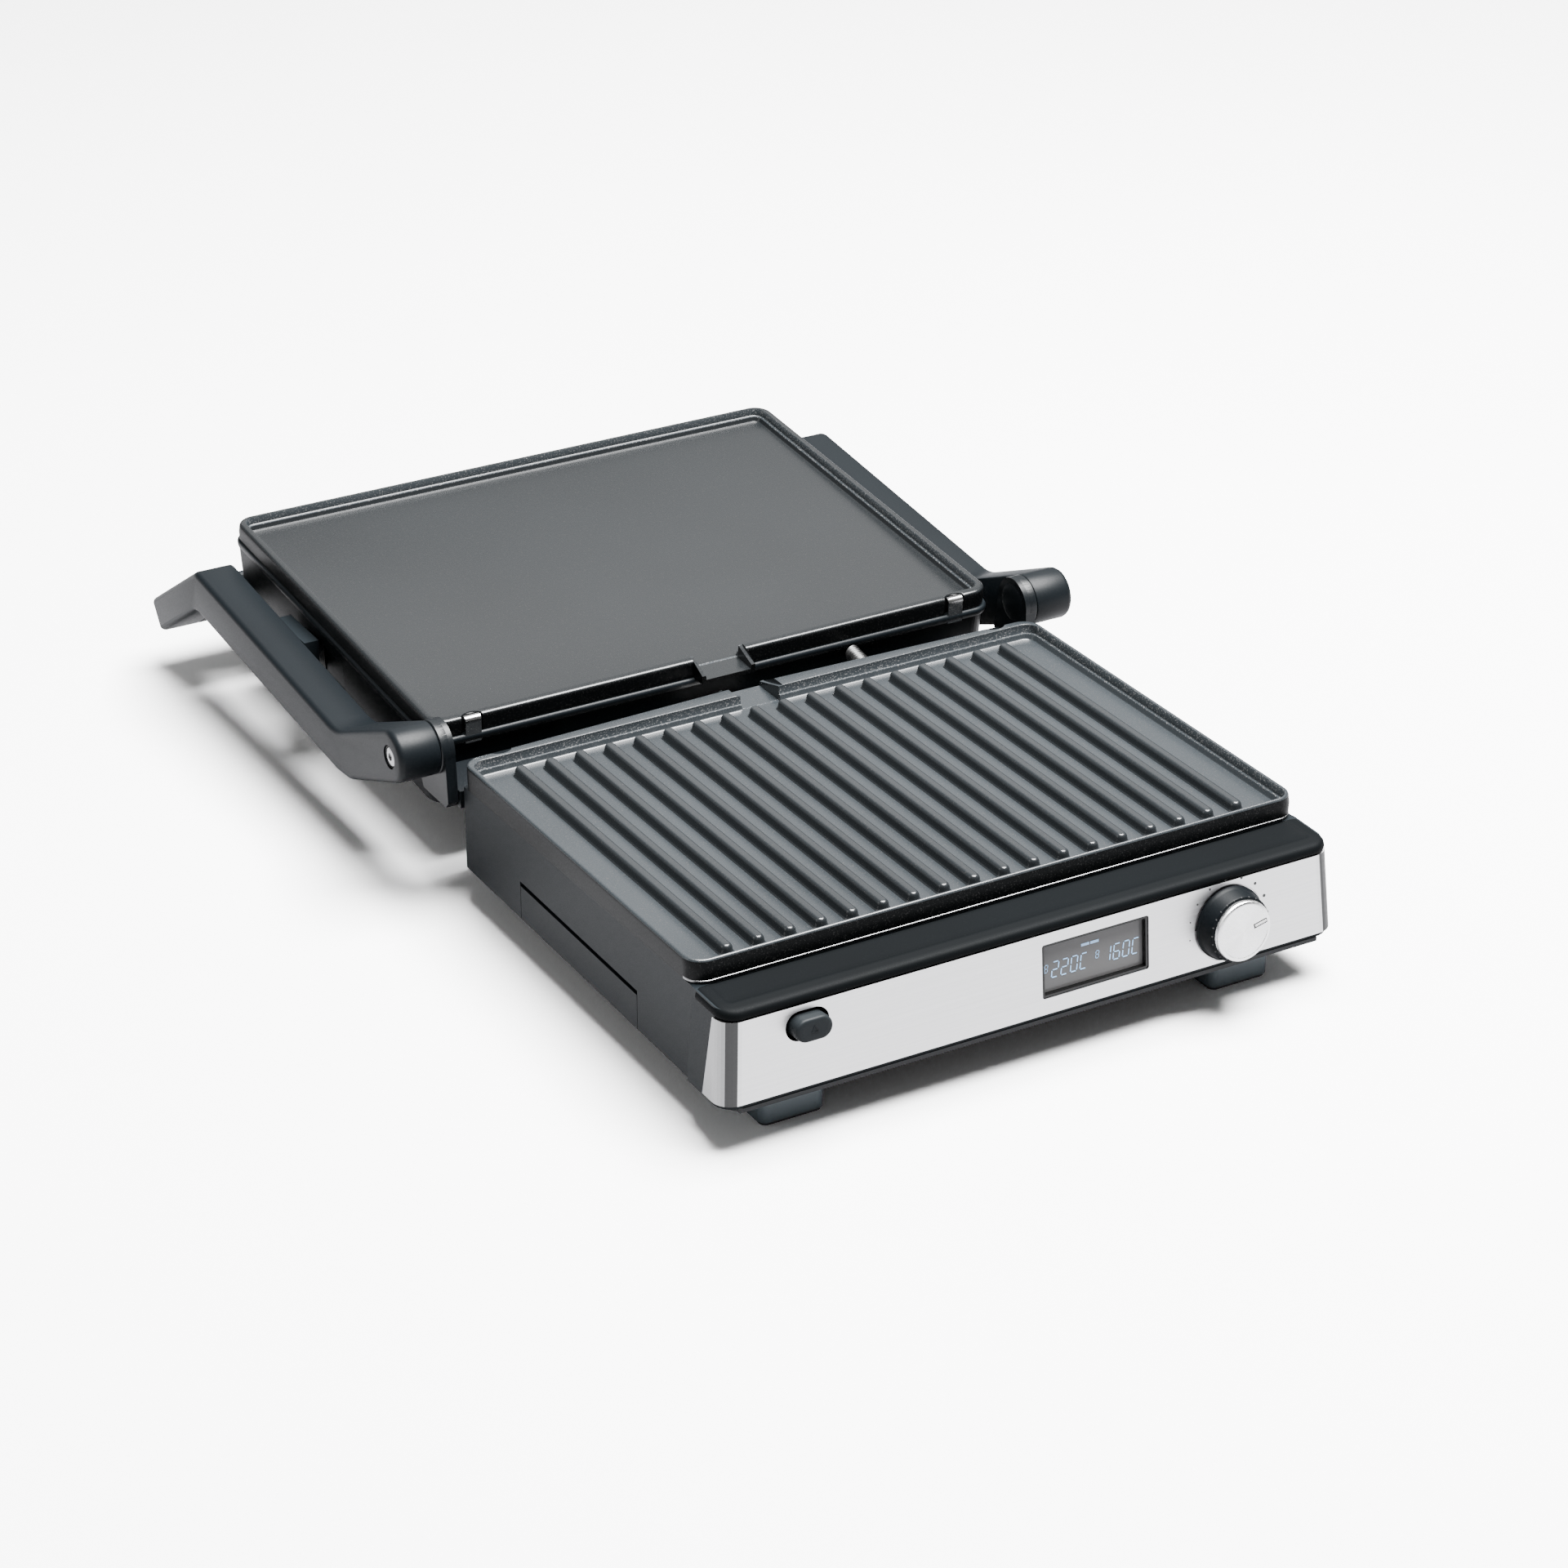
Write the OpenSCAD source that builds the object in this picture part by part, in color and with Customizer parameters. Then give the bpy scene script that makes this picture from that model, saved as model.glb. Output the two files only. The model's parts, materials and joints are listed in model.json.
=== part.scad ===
// Contact grill, opened flat. Millimetres, +Z up, front towards -Y, origin on the table under the
// middle of the object. Positions are written from the hinge axis, which runs along X at height hub_z;
// at_hub() then moves each sub-part so that the whole is centred on the origin.

/* [Plates] */
// Width of the ribbed grill plate
grill_w = 300; // [296:0.5:301]
// Depth of the ribbed grill plate
grill_d = 216.5; // [214:0.5:217]
// Width of the flat griddle plate
griddle_w = 296.6; // [294:0.2:297]
// Depth of the flat griddle plate
griddle_d = 225; // [222:0.5:226]
// Slope of the grill plate towards its spout, degrees
grill_tilt = 0.87; // [0.6:0.01:1]
// Slope of the griddle plate towards its spout, degrees
griddle_tilt = 3.9; // [3.5:0.1:4]
// Corner radius of both plates
plate_r = 9; // [6:0.5:10]
// Width of the rim at the sides of the grill plate
rim_side = 2.3; // [2:0.1:2.6]
// Width of the rim at the front of the grill plate
rim_front = 2.2; // [2:0.1:2.6]
// Width of the rim on the hinge side of the grill plate
rim_rear = 4.7; // [4:0.1:5]
// Width of the rim of the griddle plate
rim_griddle = 3.6; // [3:0.1:4]
// Depth of the grill plate's floor below its rim
floor_depth = 7.2; // [6.8:0.1:7.2]
// Depth of the griddle plate's floor below its rim
griddle_depth = 6.2; // [5.6:0.1:6.2]
// Depth of the ledge inside the rims
ledge_depth = 4.2; // [3.6:0.1:4.6]
// Thickness of the grill plate's floor
floor_t = 2.6; // [2.2:0.1:2.6]
// Thickness of the griddle plate's floor
griddle_floor_t = 2; // [1.8:0.1:2.2]
// Height of the outer side of the griddle plate
griddle_skirt = 8.8; // [8.6:0.1:9]
// Number of ribs on the grill plate
rib_count = 18; // [12:2:18]
// Distance between ribs
rib_pitch = 14.93; // [14:0.01:15]
// Width of a rib at its foot
rib_w = 5.8; // [5:0.2:6.6]
// Height of a rib above the floor
rib_h = 4.4; // [3.6:0.1:4.6]

/* [Base] */
// Width of the base housing
base_w = 298.6; // [297:0.2:299]
// Height of the underside above the table
base_z = 19; // [18.5:0.1:19.5]
// Height of the front shelf
shelf_z = 64.9; // [64.5:0.1:65]
// Wall thickness of the plastic shells
wall = 2.8; // [2.4:0.1:3]
// Lean of the front panel, degrees
panel_lean = 5; // [4:0.5:5.5]
// Thickness of the steel front panel
panel_t = 1.1; // [0.8:0.1:1.2]
// Position of the control knob across the panel
knob_x = 95.7; // [90:0.1:98]
// Radius of the knob cap
knob_r = 14.3; // [13:0.1:14.5]
// Width of the display window
window_w = 53.6; // [50:0.2:54]
// Height of the display window
window_h = 25; // [22:0.2:25.4]
// Position of the release button across the panel
button_x = -111.8; // [-115:0.2:-108]
// Width of a foot
foot_w = 30.8; // [26:0.2:31]
// Length of a foot
foot_l = 33; // [28:1:34]

/* [Hinge and handle] */
// Height of the hinge axis
hub_z = 73.5; // [73.4:0.1:73.6]
// Radius of the hinge hubs
hub_r = 12.4; // [12:0.1:12.5]
// Inner face of the handle arms
arm_in = 156.8; // [156.8:0.1:157.2]
// Outer face of the handle arms
arm_out = 177; // [176:0.5:178]
// Radius of the hinge pins
pin_r = 4; // [3.8:0.1:4.2]
// Radial clearance of the pins in their bores
pin_gap = 0.05; // [0.03:0.01:0.08]
// Height of the lid shell under the griddle plate
lid_h = 34; // [32:0.5:34]

/* [Drip tray] */
// Length of the tray across the base
tray_l = 168; // [160:1:172]
// Width of the tray front
tray_w = 108.6; // [105:0.2:109]

/* [Hidden] */
conduit_x = 70;
$fn = 48;
eps = 0.01;
small_fn = 32;

// Where the plates start on either side of the hinge
grill_rear_y = -16.1;
grill_rear_z = 72.4;
griddle_near_y = 16.25;
griddle_near_z = 75.1;
// Height of the grill plate's side at the front and at the rear
skirt_front = 10.3;
skirt_rear = 12.1;
grill_front_y = grill_rear_y - grill_d;
// Spouts
spout_half = 12;
spout_tip_half = 9.5;
spout_len = 8.5;
spout_bulge = 4.5;
clip_x = 128;
notch_r = 5.6;
// Base outline
base_rear_y = -15;
front_top_y = -257.5;
panel_top_z = 60.2;
panel_h = 37.2;
panel_flare = 2.4;
panel_wrap_y = -250;
front_r = 9;
plate_gap = 0.8;
cavity_front_y = -230.3;
cavity_rear_y = base_rear_y - wall;
shelf_back_y = -233.6;
front_bay_rear_y = cavity_front_y - wall;
window_x = 28;
window_drop = 17.5;
knob_drop = 19.2;
button_drop = 9.3;
button_w = 17.2;
button_h = 10.4;
button_stand = 6.4;
slot_gap = 1.6;
// Tray
tray_y = -127.1;
tray_front_h = 16.6;
tray_deep = 94;
tray_floor_z = base_z + 2.4;
tray_t = 1.8;
// Feet
foot_x = 112.1;
foot_rear_y = -10;
foot_front_y = -232.4;
pad_h = 1.5;
// Brackets
bracket_in = 150.2;
bracket_out = 156;
bracket_low = 47.6;
washer_t = 0.5;
pin_start = 151.5;
pin_end = 171;
screw_seat = 172;
grip_screw_at = [[258, 44], [272, 34]];
// Lid pivots, in the lid's own frame
pivot_y = 137.3;
pivot_z = -26.4;
pivot_r = 3;
lid_top = -9.4;
lid_w = 297.2;
lid_near = 0.6;
lid_far = 225.2;
lid_draft = 2.4;
heater_r = 3.2;

// Lid pivot axis and the reach of the object on either side of the hinge, for centring on the origin
knob_reach = front_top_y - panel_t - 12.6 * cos(panel_lean) - (knob_drop + knob_r - 0.9) * sin(panel_lean);
grip_reach = 284.33;
hub_y = -(grip_reach + knob_reach) / 2;

// ---------- helpers ----------
module at_hub() {
    translate([0, hub_y, 0]) children();
}
// Rounded rectangle, centred
module rrect(w, d, r) {
    square([w - 2 * r, d], center = true);
    square([w, d - 2 * r], center = true);
    for (x = [-1, 1], y = [-1, 1]) translate([x * (w / 2 - r), y * (d / 2 - r)]) circle(r);
}
// Rounded rectangle from y0 to y1, centred on X
module bar_plan(w, y0, y1, r) {
    translate([0, (y0 + y1) / 2]) rrect(w, y1 - y0, r);
}
// Slot shape along X
module obround(w, h) {
    square([w - h, h], center = true);
    for (x = [-1, 1]) translate([x * (w - h) / 2, 0]) circle(h / 2);
}
// Box from one corner to the other
module block(x0, x1, y0, y1, z0, z1) {
    translate([x0, y0, z0]) cube([x1 - x0, y1 - y0, z1 - z0]);
}
// Cylinder along X
module rod(x0, x1, r) {
    translate([x0, 0, 0]) rotate([0, 90, 0]) cylinder(r = r, h = x1 - x0);
}
// Polygon whose corners, given as (y, z, radius), are rounded with short straight steps
function unit(v) = v / norm(v);
function corner(a, b, c) =
    let (u = unit([a[0] - b[0], a[1] - b[1]]), w = unit([c[0] - b[0], c[1] - b[1]]),
        half = acos(max(-1, min(1, u * w))) / 2, r = b[2], m = unit(u + w),
        o = [b[0], b[1]] + m * r / sin(half), p = [b[0], b[1]] + u * r / tan(half) - o,
        q = [b[0], b[1]] + w * r / tan(half) - o, sweep = 180 - 2 * half,
        turn = (p[0] * q[1] - p[1] * q[0]) > 0 ? 1 : -1)
    r == 0 ? [[b[0], b[1]]] : [for (i = [0 : 6]) let (t = turn * sweep * i / 6)
        o + [p[0] * cos(t) - p[1] * sin(t), p[0] * sin(t) + p[1] * cos(t)]];
module rounded(pts) {
    n = len(pts);
    polygon([for (i = [0 : n - 1]) each corner(pts[(i + n - 1) % n], pts[i], pts[(i + 1) % n])]);
}
// Extrudes a shape drawn as (y, z) along X
module side_extrude(x0, x1) {
    translate([x0, 0, 0]) rotate([90, 0, 90]) linear_extrude(x1 - x0) children();
}
module both_sides() {
    children();
    mirror([1, 0, 0]) children();
}
// Frames of the two plates: y = 0 at the hinge-side edge, z = 0 at the rim
module grill_frame() {
    translate([0, grill_rear_y, grill_rear_z]) rotate([-grill_tilt, 0, 0]) children();
}
module griddle_frame() {
    translate([0, griddle_near_y, griddle_near_z]) rotate([griddle_tilt, 0, 0]) children();
}
// Frame of the leaning front panel: x across, z up from its top edge, y = 0 on its outer face
module panel_frame() {
    translate([0, front_top_y - panel_t, panel_top_z]) rotate([-panel_lean, 0, 0]) children();
}
// Extrudes a shape drawn as (x, z) on the panel from depth y0 to y1
module panel_extrude(y0, y1) {
    panel_frame() translate([0, y1, 0]) rotate([90, 0, 0]) linear_extrude(y1 - y0) children();
}
module panel_rod(x, drop, y0, y1, r) {
    panel_extrude(y0, y1) translate([x, -drop]) circle(r);
}
// Leaning, flared nose of the base, set in by a margin
module nose(inset, z0, z1) {
    lean = tan(panel_lean);
    fall = panel_top_z - z0;
    rise = panel_top_z - z1;
    flare = panel_flare / panel_h;
    hull() {
        for (s = [[z1, rise], [z0, fall]]) {
            w = 2 * (base_w / 2 + 0.3 + panel_t + s[1] * flare - inset);
            translate([0, 0, s[0]]) linear_extrude(eps)
                bar_plan(w, front_top_y - panel_t - s[1] * lean + inset, -220, front_r, $fn = small_fn);
        }
    }
}

// ---------- base ----------
module plate_slope_cut() {
    // Everything above the sloping top edge of the base walls
    run = base_rear_y - shelf_back_y;
    drop = skirt_rear - skirt_front;
    slope = grill_tilt + atan(drop / grill_d);
    translate([0, shelf_back_y, shelf_z]) rotate([-slope, 0, 0]) block(-160, 160, 0, run + 20, 0, 20);
}
// Tray opening with a finger gap over it
module tray_opening() {
    block(-base_w, -base_w / 2 + wall + 1, tray_y - tray_w / 2 - 0.4, tray_y + tray_w / 2 + 0.4, 0,
        base_z + tray_front_h + 2.2);
}
// Shell of the base, of which the front bay and the rear wall are kept; the side walls are straight
module base_shell() {
    difference() {
        union() {
            translate([0, 0, base_z]) linear_extrude(shelf_z - base_z)
                bar_plan(base_w, panel_wrap_y, base_rear_y, 4);
            translate([0, 0, panel_top_z]) linear_extrude(shelf_z - panel_top_z)
                bar_plan(base_w + 0.6, front_top_y + 0.4, shelf_back_y + 12, front_r);
            nose(panel_t + 0.1, base_z + 2, panel_top_z + eps);
        }
        plate_slope_cut();
        block(-base_w / 2 + wall, base_w / 2 - wall, cavity_front_y, cavity_rear_y, 0, 90);
        block(-base_w / 2 + wall, base_w / 2 - wall, front_top_y + wall, front_bay_rear_y, 0, shelf_z - wall);
        // Way through for the gutter
        block(-20, 20, cavity_rear_y - 1, base_rear_y + 1, 36, 55);
        // Display, knob shaft and button
        panel_extrude(-2, 8) translate([window_x, -window_drop])
            square([window_w + 4, window_h + 3], center = true);
        panel_rod(knob_x, knob_drop, -2, 8, 5);
        panel_extrude(-2, 8) translate([button_x, -button_drop])
            obround(button_w + 2 * slot_gap, button_h + 2 * slot_gap);
        // Conduit and cord holes
        translate([conduit_x, cavity_rear_y - 1, 55]) rotate([-90, 0, 0]) cylinder(r = 4.6, h = wall + 2);
        // Slots for the tongues of the grill plate
        for (x = [button_x, -button_x]) {
            block(x - 6, x + 13, front_bay_rear_y - 1, cavity_front_y + 1, 52, 61.5);
        }
    }
}
module shell_part(x0, x1, y0, y1) {
    color([0.26, 0.29, 0.31]) at_hub() intersection() {
        base_shell();
        block(x0, x1, y0, y1, 0, 90);
    }
}
module base_front() {
    shell_part(-170, 170, -290, cavity_front_y);
    // Stop behind the button's spring
    color([0.26, 0.29, 0.31]) at_hub()
        block(button_x - 8, button_x, -249.4, -247.8, 44, shelf_z - wall + eps);
}
module wall_left() {
    color([0.26, 0.29, 0.31]) at_hub() difference() {
        block(-base_w / 2, -base_w / 2 + wall, cavity_front_y, cavity_rear_y, base_z, 68);
        plate_slope_cut();
        tray_opening();
    }
}
module wall_right() {
    color([0.26, 0.29, 0.31]) at_hub() difference() {
        block(base_w / 2 - wall, base_w / 2, cavity_front_y, cavity_rear_y, base_z, 68);
        plate_slope_cut();
        translate([base_w / 2 - wall - 1, -40, 34]) rod(0, wall + 2, 7);
    }
}
module rear_wall() {
    shell_part(-170, 170, cavity_rear_y, 0);
}
module bottom_cover() {
    color([0.2, 0.22, 0.24]) at_hub()
    difference() {
        union() {
            translate([0, 0, base_z - 1.8]) linear_extrude(1.8) bar_plan(base_w - 8, -258, base_rear_y, 6);
            side_extrude(-143, 143) polygon([[-261.2, base_z + 2], [-256, base_z + 2], [-256, base_z - 1.8],
                [-258.5, base_z - 1.8], [-261.2, base_z]]);
            // Rails for the tray
            for (y = [tray_y - 38, tray_y + 36]) block(-140, 24, y, y + 2, base_z, tray_floor_z - 0.4);
        }
        for (x = [-130, 0, 130], y = [-205, -60]) {
            translate([x, y, base_z - 3]) cylinder(r = 1.8, h = 5);
        }
        // Cooling slots on the side away from the tray
        for (i = [0 : 8]) {
            block(60, 110, -190 + 8 * i, -187 + 8 * i, base_z - 3, base_z + 1);
        }
    }
}
module bottom_screws() {
    color([0.6, 0.61, 0.62]) at_hub()
    for (x = [-130, 0, 130], y = [-205, -60]) {
        translate([x, y, base_z - 2.6]) difference() {
            union() {
                cylinder(r = 3, h = 0.8);
                cylinder(r = 1.6, h = 9);
            }
            translate([0, 0, -0.4]) cylinder(r = 1.4, h = 0.8, $fn = 6);
        }
    }
}
module front_panel() {
    color([0.75, 0.75, 0.76]) at_hub()
    difference() {
        nose(0, panel_top_z - panel_h, panel_top_z);
        nose(panel_t, panel_top_z - panel_h - 3, panel_top_z + 3);
        side_extrude(-200, 200) polygon([[-249.8, 62.5], [-244.6, 18], [0, 18], [0, 62.5]]);
        panel_extrude(-3, 5) translate([window_x, -window_drop]) rrect(window_w, window_h, 1.2);
        panel_rod(knob_x, knob_drop, -3, 5, 5);
        panel_extrude(-3, 5) translate([button_x, -button_drop]) obround(button_w + 3.4, button_h + 3);
        // Shallow dish round the knob
        panel_rod(knob_x, knob_drop, -1, 0.5, 17.6);
    }
}
module display_bezel() {
    color([0.1, 0.1, 0.11]) at_hub()
    panel_extrude(0.5, 4.6) translate([window_x, -window_drop]) difference() {
        square([window_w - 0.2, window_h - 0.2], center = true);
        square([window_w - 2.6, window_h - 2.6], center = true);
    }
}
module display_glass() {
    color([0.16, 0.16, 0.17]) at_hub()
    panel_extrude(3, 4) translate([window_x, -window_drop])
        square([window_w - 2.8, window_h - 2.8], center = true);
}
module display_module() {
    color([0.1, 0.12, 0.14]) at_hub()
    panel_extrude(5, 9) translate([window_x, -window_drop])
        square([window_w + 3, window_h + 2], center = true);
}
module control_board() {
    color([0.1, 0.35, 0.2]) at_hub()
    difference() {
        panel_extrude(10, 11.6) translate([62, -20]) square([130, 26], center = true);
        panel_rod(knob_x, knob_drop, 9, 13, 3.6);
    }
}
module power_board() {
    color([0.1, 0.35, 0.2]) at_hub()
    union() {
        block(50, 135, -205, -150, 26, 27.6);
        block(58, 78, -198, -182, 27.6, 37);
        block(90, 104, -200, -160, 27.6, 35);
        for (x = [54, 131], y = [-201, -154]) {
            translate([x, y, base_z]) cylinder(r = 2.4, h = 7);
        }
    }
}
module knob_skirt() {
    color([0.06, 0.06, 0.07]) at_hub()
    panel_frame() translate([knob_x, -0.3, -knob_drop]) rotate([90, 0, 0]) difference() {
        rotate_extrude($fn = 64) polygon([[0, 0], [16, 0], [15.6, 1], [14.6, 9.4], [0, 9.4]]);
        translate([0, 0, -1]) cylinder(r = 3.05, h = 8);
    }
}
module knob_cap() {
    color([0.85, 0.85, 0.86]) at_hub()
    panel_frame() translate([knob_x, -9.7, -knob_drop]) rotate([90, 0, 0])
        rotate_extrude($fn = 64) polygon([[0, 0], [knob_r, 0], [knob_r, 2], [knob_r - 0.9, 2.9], [0, 2.7]]);
}
module encoder() {
    color([0.5, 0.5, 0.52]) at_hub()
    union() {
        panel_rod(knob_x, knob_drop, -6.5, 12, 3);
        panel_rod(knob_x, knob_drop, 5, 9.8, 4.8);
        panel_extrude(12, 17) translate([knob_x, -knob_drop]) square([13, 12], center = true);
    }
}
module release_button() {
    color([0.2, 0.23, 0.25]) at_hub()
    union() {
        panel_extrude(-button_stand, 4.4) translate([button_x, -button_drop]) obround(button_w, button_h);
        // Tail with a wedge for the latch bar
        panel_extrude(4.4, 11) translate([button_x + 3, -button_drop]) square([4, 6], center = true);
    }
}
module button_spring() {
    color([0.7, 0.7, 0.72]) at_hub()
    panel_frame() translate([button_x - 4, 9.6, -button_drop]) rotate([90, 0, 0])
        rotate_extrude() translate([1.8, 0]) square([0.8, 5]);
}
module latch_bar() {
    color([0.55, 0.56, 0.58]) at_hub()
    union() {
        block(button_x + 3, -button_x + 10, -243, -240.5, 55, 60.5);
        for (x = [button_x + 4.6, -button_x + 4.6]) {
            block(x, x + 4, -240.5, -228.6, 56, 59);
        }
        block(button_x + 5.7, button_x + 8, -245.2, -243, 55, 58);
    }
}
module feet() {
    color([0.2, 0.23, 0.25]) at_hub()
    for (x = [-foot_x, foot_x], y = [foot_front_y, foot_rear_y]) {
        translate([x, y, pad_h]) linear_extrude(base_z - 1.8 - pad_h) rrect(foot_w, foot_l, 4);
    }
}
module foot_pads() {
    color([0.08, 0.08, 0.08]) at_hub()
    for (x = [-foot_x, foot_x], y = [foot_front_y, foot_rear_y]) {
        translate([x, y, 0]) linear_extrude(pad_h) rrect(foot_w - 2, foot_l - 2, 3);
    }
}
module drip_tray() {
    color([0.26, 0.29, 0.31]) at_hub()
    union() {
        difference() {
            block(-base_w / 2 + 2, -base_w / 2 + tray_l, tray_y - tray_deep / 2, tray_y + tray_deep / 2,
                tray_floor_z, base_z + tray_front_h - 2);
            block(-base_w / 2 + 3.8, -base_w / 2 + tray_l - tray_t, tray_y - tray_deep / 2 + tray_t,
                tray_y + tray_deep / 2 - tray_t, tray_floor_z + tray_t, 60);
        }
        difference() {
            block(-base_w / 2, -base_w / 2 + wall, tray_y - tray_w / 2, tray_y + tray_w / 2, base_z,
                base_z + tray_front_h);
            block(-base_w / 2 + 2, -base_w / 2 + 5, tray_y - tray_deep / 2, tray_y + tray_deep / 2,
                tray_floor_z - 1, 60);
        }
    }
}
module drain_gutter() {
    color([0.5, 0.51, 0.52]) at_hub()
    difference() {
        side_extrude(-15, 15) polygon([[12.5, 50], [12.5, 44.5], [-84, 38.4], [-84, 44.8], [-20, 50]]);
        side_extrude(-13.6, 13.6) polygon([[11, 60], [11, 46], [-85, 39.9], [-85, 60]]);
    }
}
module lower_reflector() {
    color([0.72, 0.72, 0.73]) at_hub()
    difference() {
        translate([0, 0, 50.6]) linear_extrude(7) bar_plan(286, -228, -23, 8);
        translate([0, 0, 51.6]) linear_extrude(8) bar_plan(284, -227, -24, 7);
        for (x = [-60, 60]) translate([x, -125, 49]) cylinder(r = 4.2, h = 4);
    }
}
// Tubular element: three legs joined by bends, in a plane
module element(w, y0, y1) {
    r = 14;
    for (x = [-w / 2, w / 2]) translate([x, y0 + r, 0]) rotate([-90, 0, 0])
        cylinder(r = heater_r, h = y1 - y0 - 2 * r);
    translate([-w / 2 + r, y1, 0]) rotate([0, 90, 0]) cylinder(r = heater_r, h = w - 2 * r);
    for (s = [-1, 1]) {
        translate([s * (w / 2 - r), y1 - r, 0]) rotate([0, 0, s > 0 ? 0 : 90])
            rotate_extrude(angle = 90) translate([r, 0]) circle(heater_r);
        translate([s * (w / 2 - r), y0 + r, 0]) rotate([0, 0, s > 0 ? 270 : 180])
            rotate_extrude(angle = 90) translate([r, 0]) circle(heater_r);
        translate([s > 0 ? 20 : -w / 2 + r, y0, 0]) rotate([0, 90, 0])
            cylinder(r = heater_r, h = w / 2 - r - 20);
    }
}
module lower_heater() {
    color([0.35, 0.33, 0.32]) at_hub()
    translate([0, 0, 57.3]) element(200, -200, -60);
}
module lower_thermostat() {
    color([0.8, 0.78, 0.7]) at_hub()
    for (x = [-60, 60]) translate([x, -125, 46]) {
        cylinder(r = 4, h = 17.6);
        translate([0, 0, -2]) cylinder(r = 7, h = 4);
    }
}
module cord_gland() {
    color([0.07, 0.07, 0.07]) at_hub()
    translate([0, -40, 34]) difference() {
        union() {
            rod(base_w / 2 - 5, base_w / 2 + 4, 6.8);
            rod(base_w / 2 - 8, base_w / 2 - 5, 9);
        }
        rod(base_w / 2 - 9, base_w / 2 + 5, 3.6);
    }
}
module lower_clips() {
    color([0.85, 0.85, 0.86]) at_hub()
    for (x = [-clip_x - 2, clip_x + 2]) {
        block(x - 4.2, x + 4.2, -15, -14.2, 56, 69.5);
        block(x - 4.2, x + 4.2, -16.4, -14.2, 68.7, 69.5);
    }
}

// ---------- plates ----------
// Outline of a plate with its spout; y0 and y1 are the ends, the spout is on the y = 0 side
module spout_plan(half, tip_half, len, grow) {
    polygon([[-half - grow, -6], [-half - grow, 0], [-tip_half - grow, len], [tip_half + grow, len],
        [half + grow, 0], [half + grow, -6]]);
}
module rib() {
    foot = rib_w;
    len = 193.4;
    translate([0, -205 + 0.5 * len, -floor_depth - eps]) {
        linear_extrude(rib_h * 0.45) rotate(90) obround(len, foot);
        linear_extrude(rib_h * 0.8) rotate(90) obround(len - 1.2, foot - 1.4);
        linear_extrude(rib_h) rotate(90) obround(len - 2.4, foot - 2.8);
    }
}
module grill_plate() {
    color([0.2, 0.21, 0.22]) at_hub()
    grill_frame() union() {
        difference() {
            union() {
                translate([0, 0, -skirt_rear]) linear_extrude(skirt_rear) {
                    bar_plan(grill_w, -grill_d, 0, plate_r);
                    polygon([[-grill_w / 2 + plate_r, -5], [-grill_w / 2 + plate_r, 0],
                        [-spout_half, spout_bulge],
                        [spout_half, spout_bulge], [grill_w / 2 - plate_r, 0], [grill_w / 2 - plate_r, -5]]);
                }
                translate([0, spout_bulge, -floor_depth - floor_t]) linear_extrude(floor_depth + floor_t)
                    spout_plan(spout_half, spout_tip_half, spout_len, 2);
            }
            // Sloping lower edge
            translate([0, -grill_d, -skirt_front]) rotate([-atan((skirt_rear - skirt_front) / grill_d), 0, 0])
                block(-160, 160, -20, grill_d + 40, -10, 0);
            // Stepped pan
            translate([0, 0, -ledge_depth]) linear_extrude(8)
                bar_plan(grill_w - 2 * rim_side, -grill_d + rim_front, -rim_rear, plate_r - 2);
            translate([0, 0, -floor_depth]) linear_extrude(8)
                bar_plan(grill_w - 2 * rim_side - 2, -grill_d + rim_front + 1, -rim_rear - 1, plate_r - 3);
            // Way out through the spout
            translate([0, spout_bulge, -floor_depth]) linear_extrude(8)
                spout_plan(spout_half, spout_tip_half, spout_len + 0.1, 0);
            translate([-spout_half, -8, -floor_depth]) cube([2 * spout_half, 12.6, 9]);
            // Hollow underside
            translate([0, 0, -skirt_rear - 1]) linear_extrude(skirt_rear + 1 - floor_depth - floor_t)
                bar_plan(grill_w - 2 * 4.6, -grill_d + 4.6, -4.6, plate_r - 4);
            // Notches for the clips
            for (x = [-clip_x - 2, clip_x + 2]) {
                translate([x, 0.4, -20]) cylinder(r = notch_r, h = 30);
            }
        }
        for (i = [0 : rib_count - 1]) translate([(i - (rib_count - 1) / 2) * rib_pitch, 0, 0]) rib();
        // Tongues held by the latch bar
        for (x = [button_x, -button_x]) {
            block(x - 4, x + 4, -grill_d + 4.4, -grill_d + 7, -17, -floor_depth - 1);
        }
    }
}
module griddle_plate() {
    color([0.3, 0.31, 0.32]) at_hub()
    griddle_frame() difference() {
        union() {
            translate([0, 0, -griddle_skirt]) linear_extrude(griddle_skirt)
                bar_plan(griddle_w, 0, griddle_d, plate_r);
            translate([0, 0, -griddle_depth - griddle_floor_t])
                linear_extrude(griddle_depth + griddle_floor_t)
                mirror([0, 1]) spout_plan(spout_half + 2, spout_tip_half + 2, spout_len, 2);
        }
        translate([0, 0, -ledge_depth + 0.3]) linear_extrude(8)
            bar_plan(griddle_w - 2 * rim_griddle, rim_griddle + 1, griddle_d - rim_griddle, plate_r - 3);
        translate([0, 0, -griddle_depth]) linear_extrude(8)
            bar_plan(griddle_w - 2 * rim_griddle - 2, rim_griddle + 2, griddle_d - rim_griddle - 1,
                plate_r - 4);
        translate([0, 0, -griddle_depth]) linear_extrude(8) mirror([0, 1])
            spout_plan(spout_half + 2, spout_tip_half + 2, spout_len + 0.1, 0);
        translate([-spout_half - 2, -0.1, -griddle_depth]) cube([2 * spout_half + 4, 8, 8]);
        translate([0, 0, -griddle_skirt - 1])
            linear_extrude(griddle_skirt + 1 - griddle_depth - griddle_floor_t)
            bar_plan(griddle_w - 2 * 4.6, 4.6, griddle_d - 4.6, plate_r - 4);
        for (x = [-clip_x, clip_x]) {
            translate([x, -0.4, -20]) cylinder(r = notch_r, h = 30);
        }
    }
}

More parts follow.
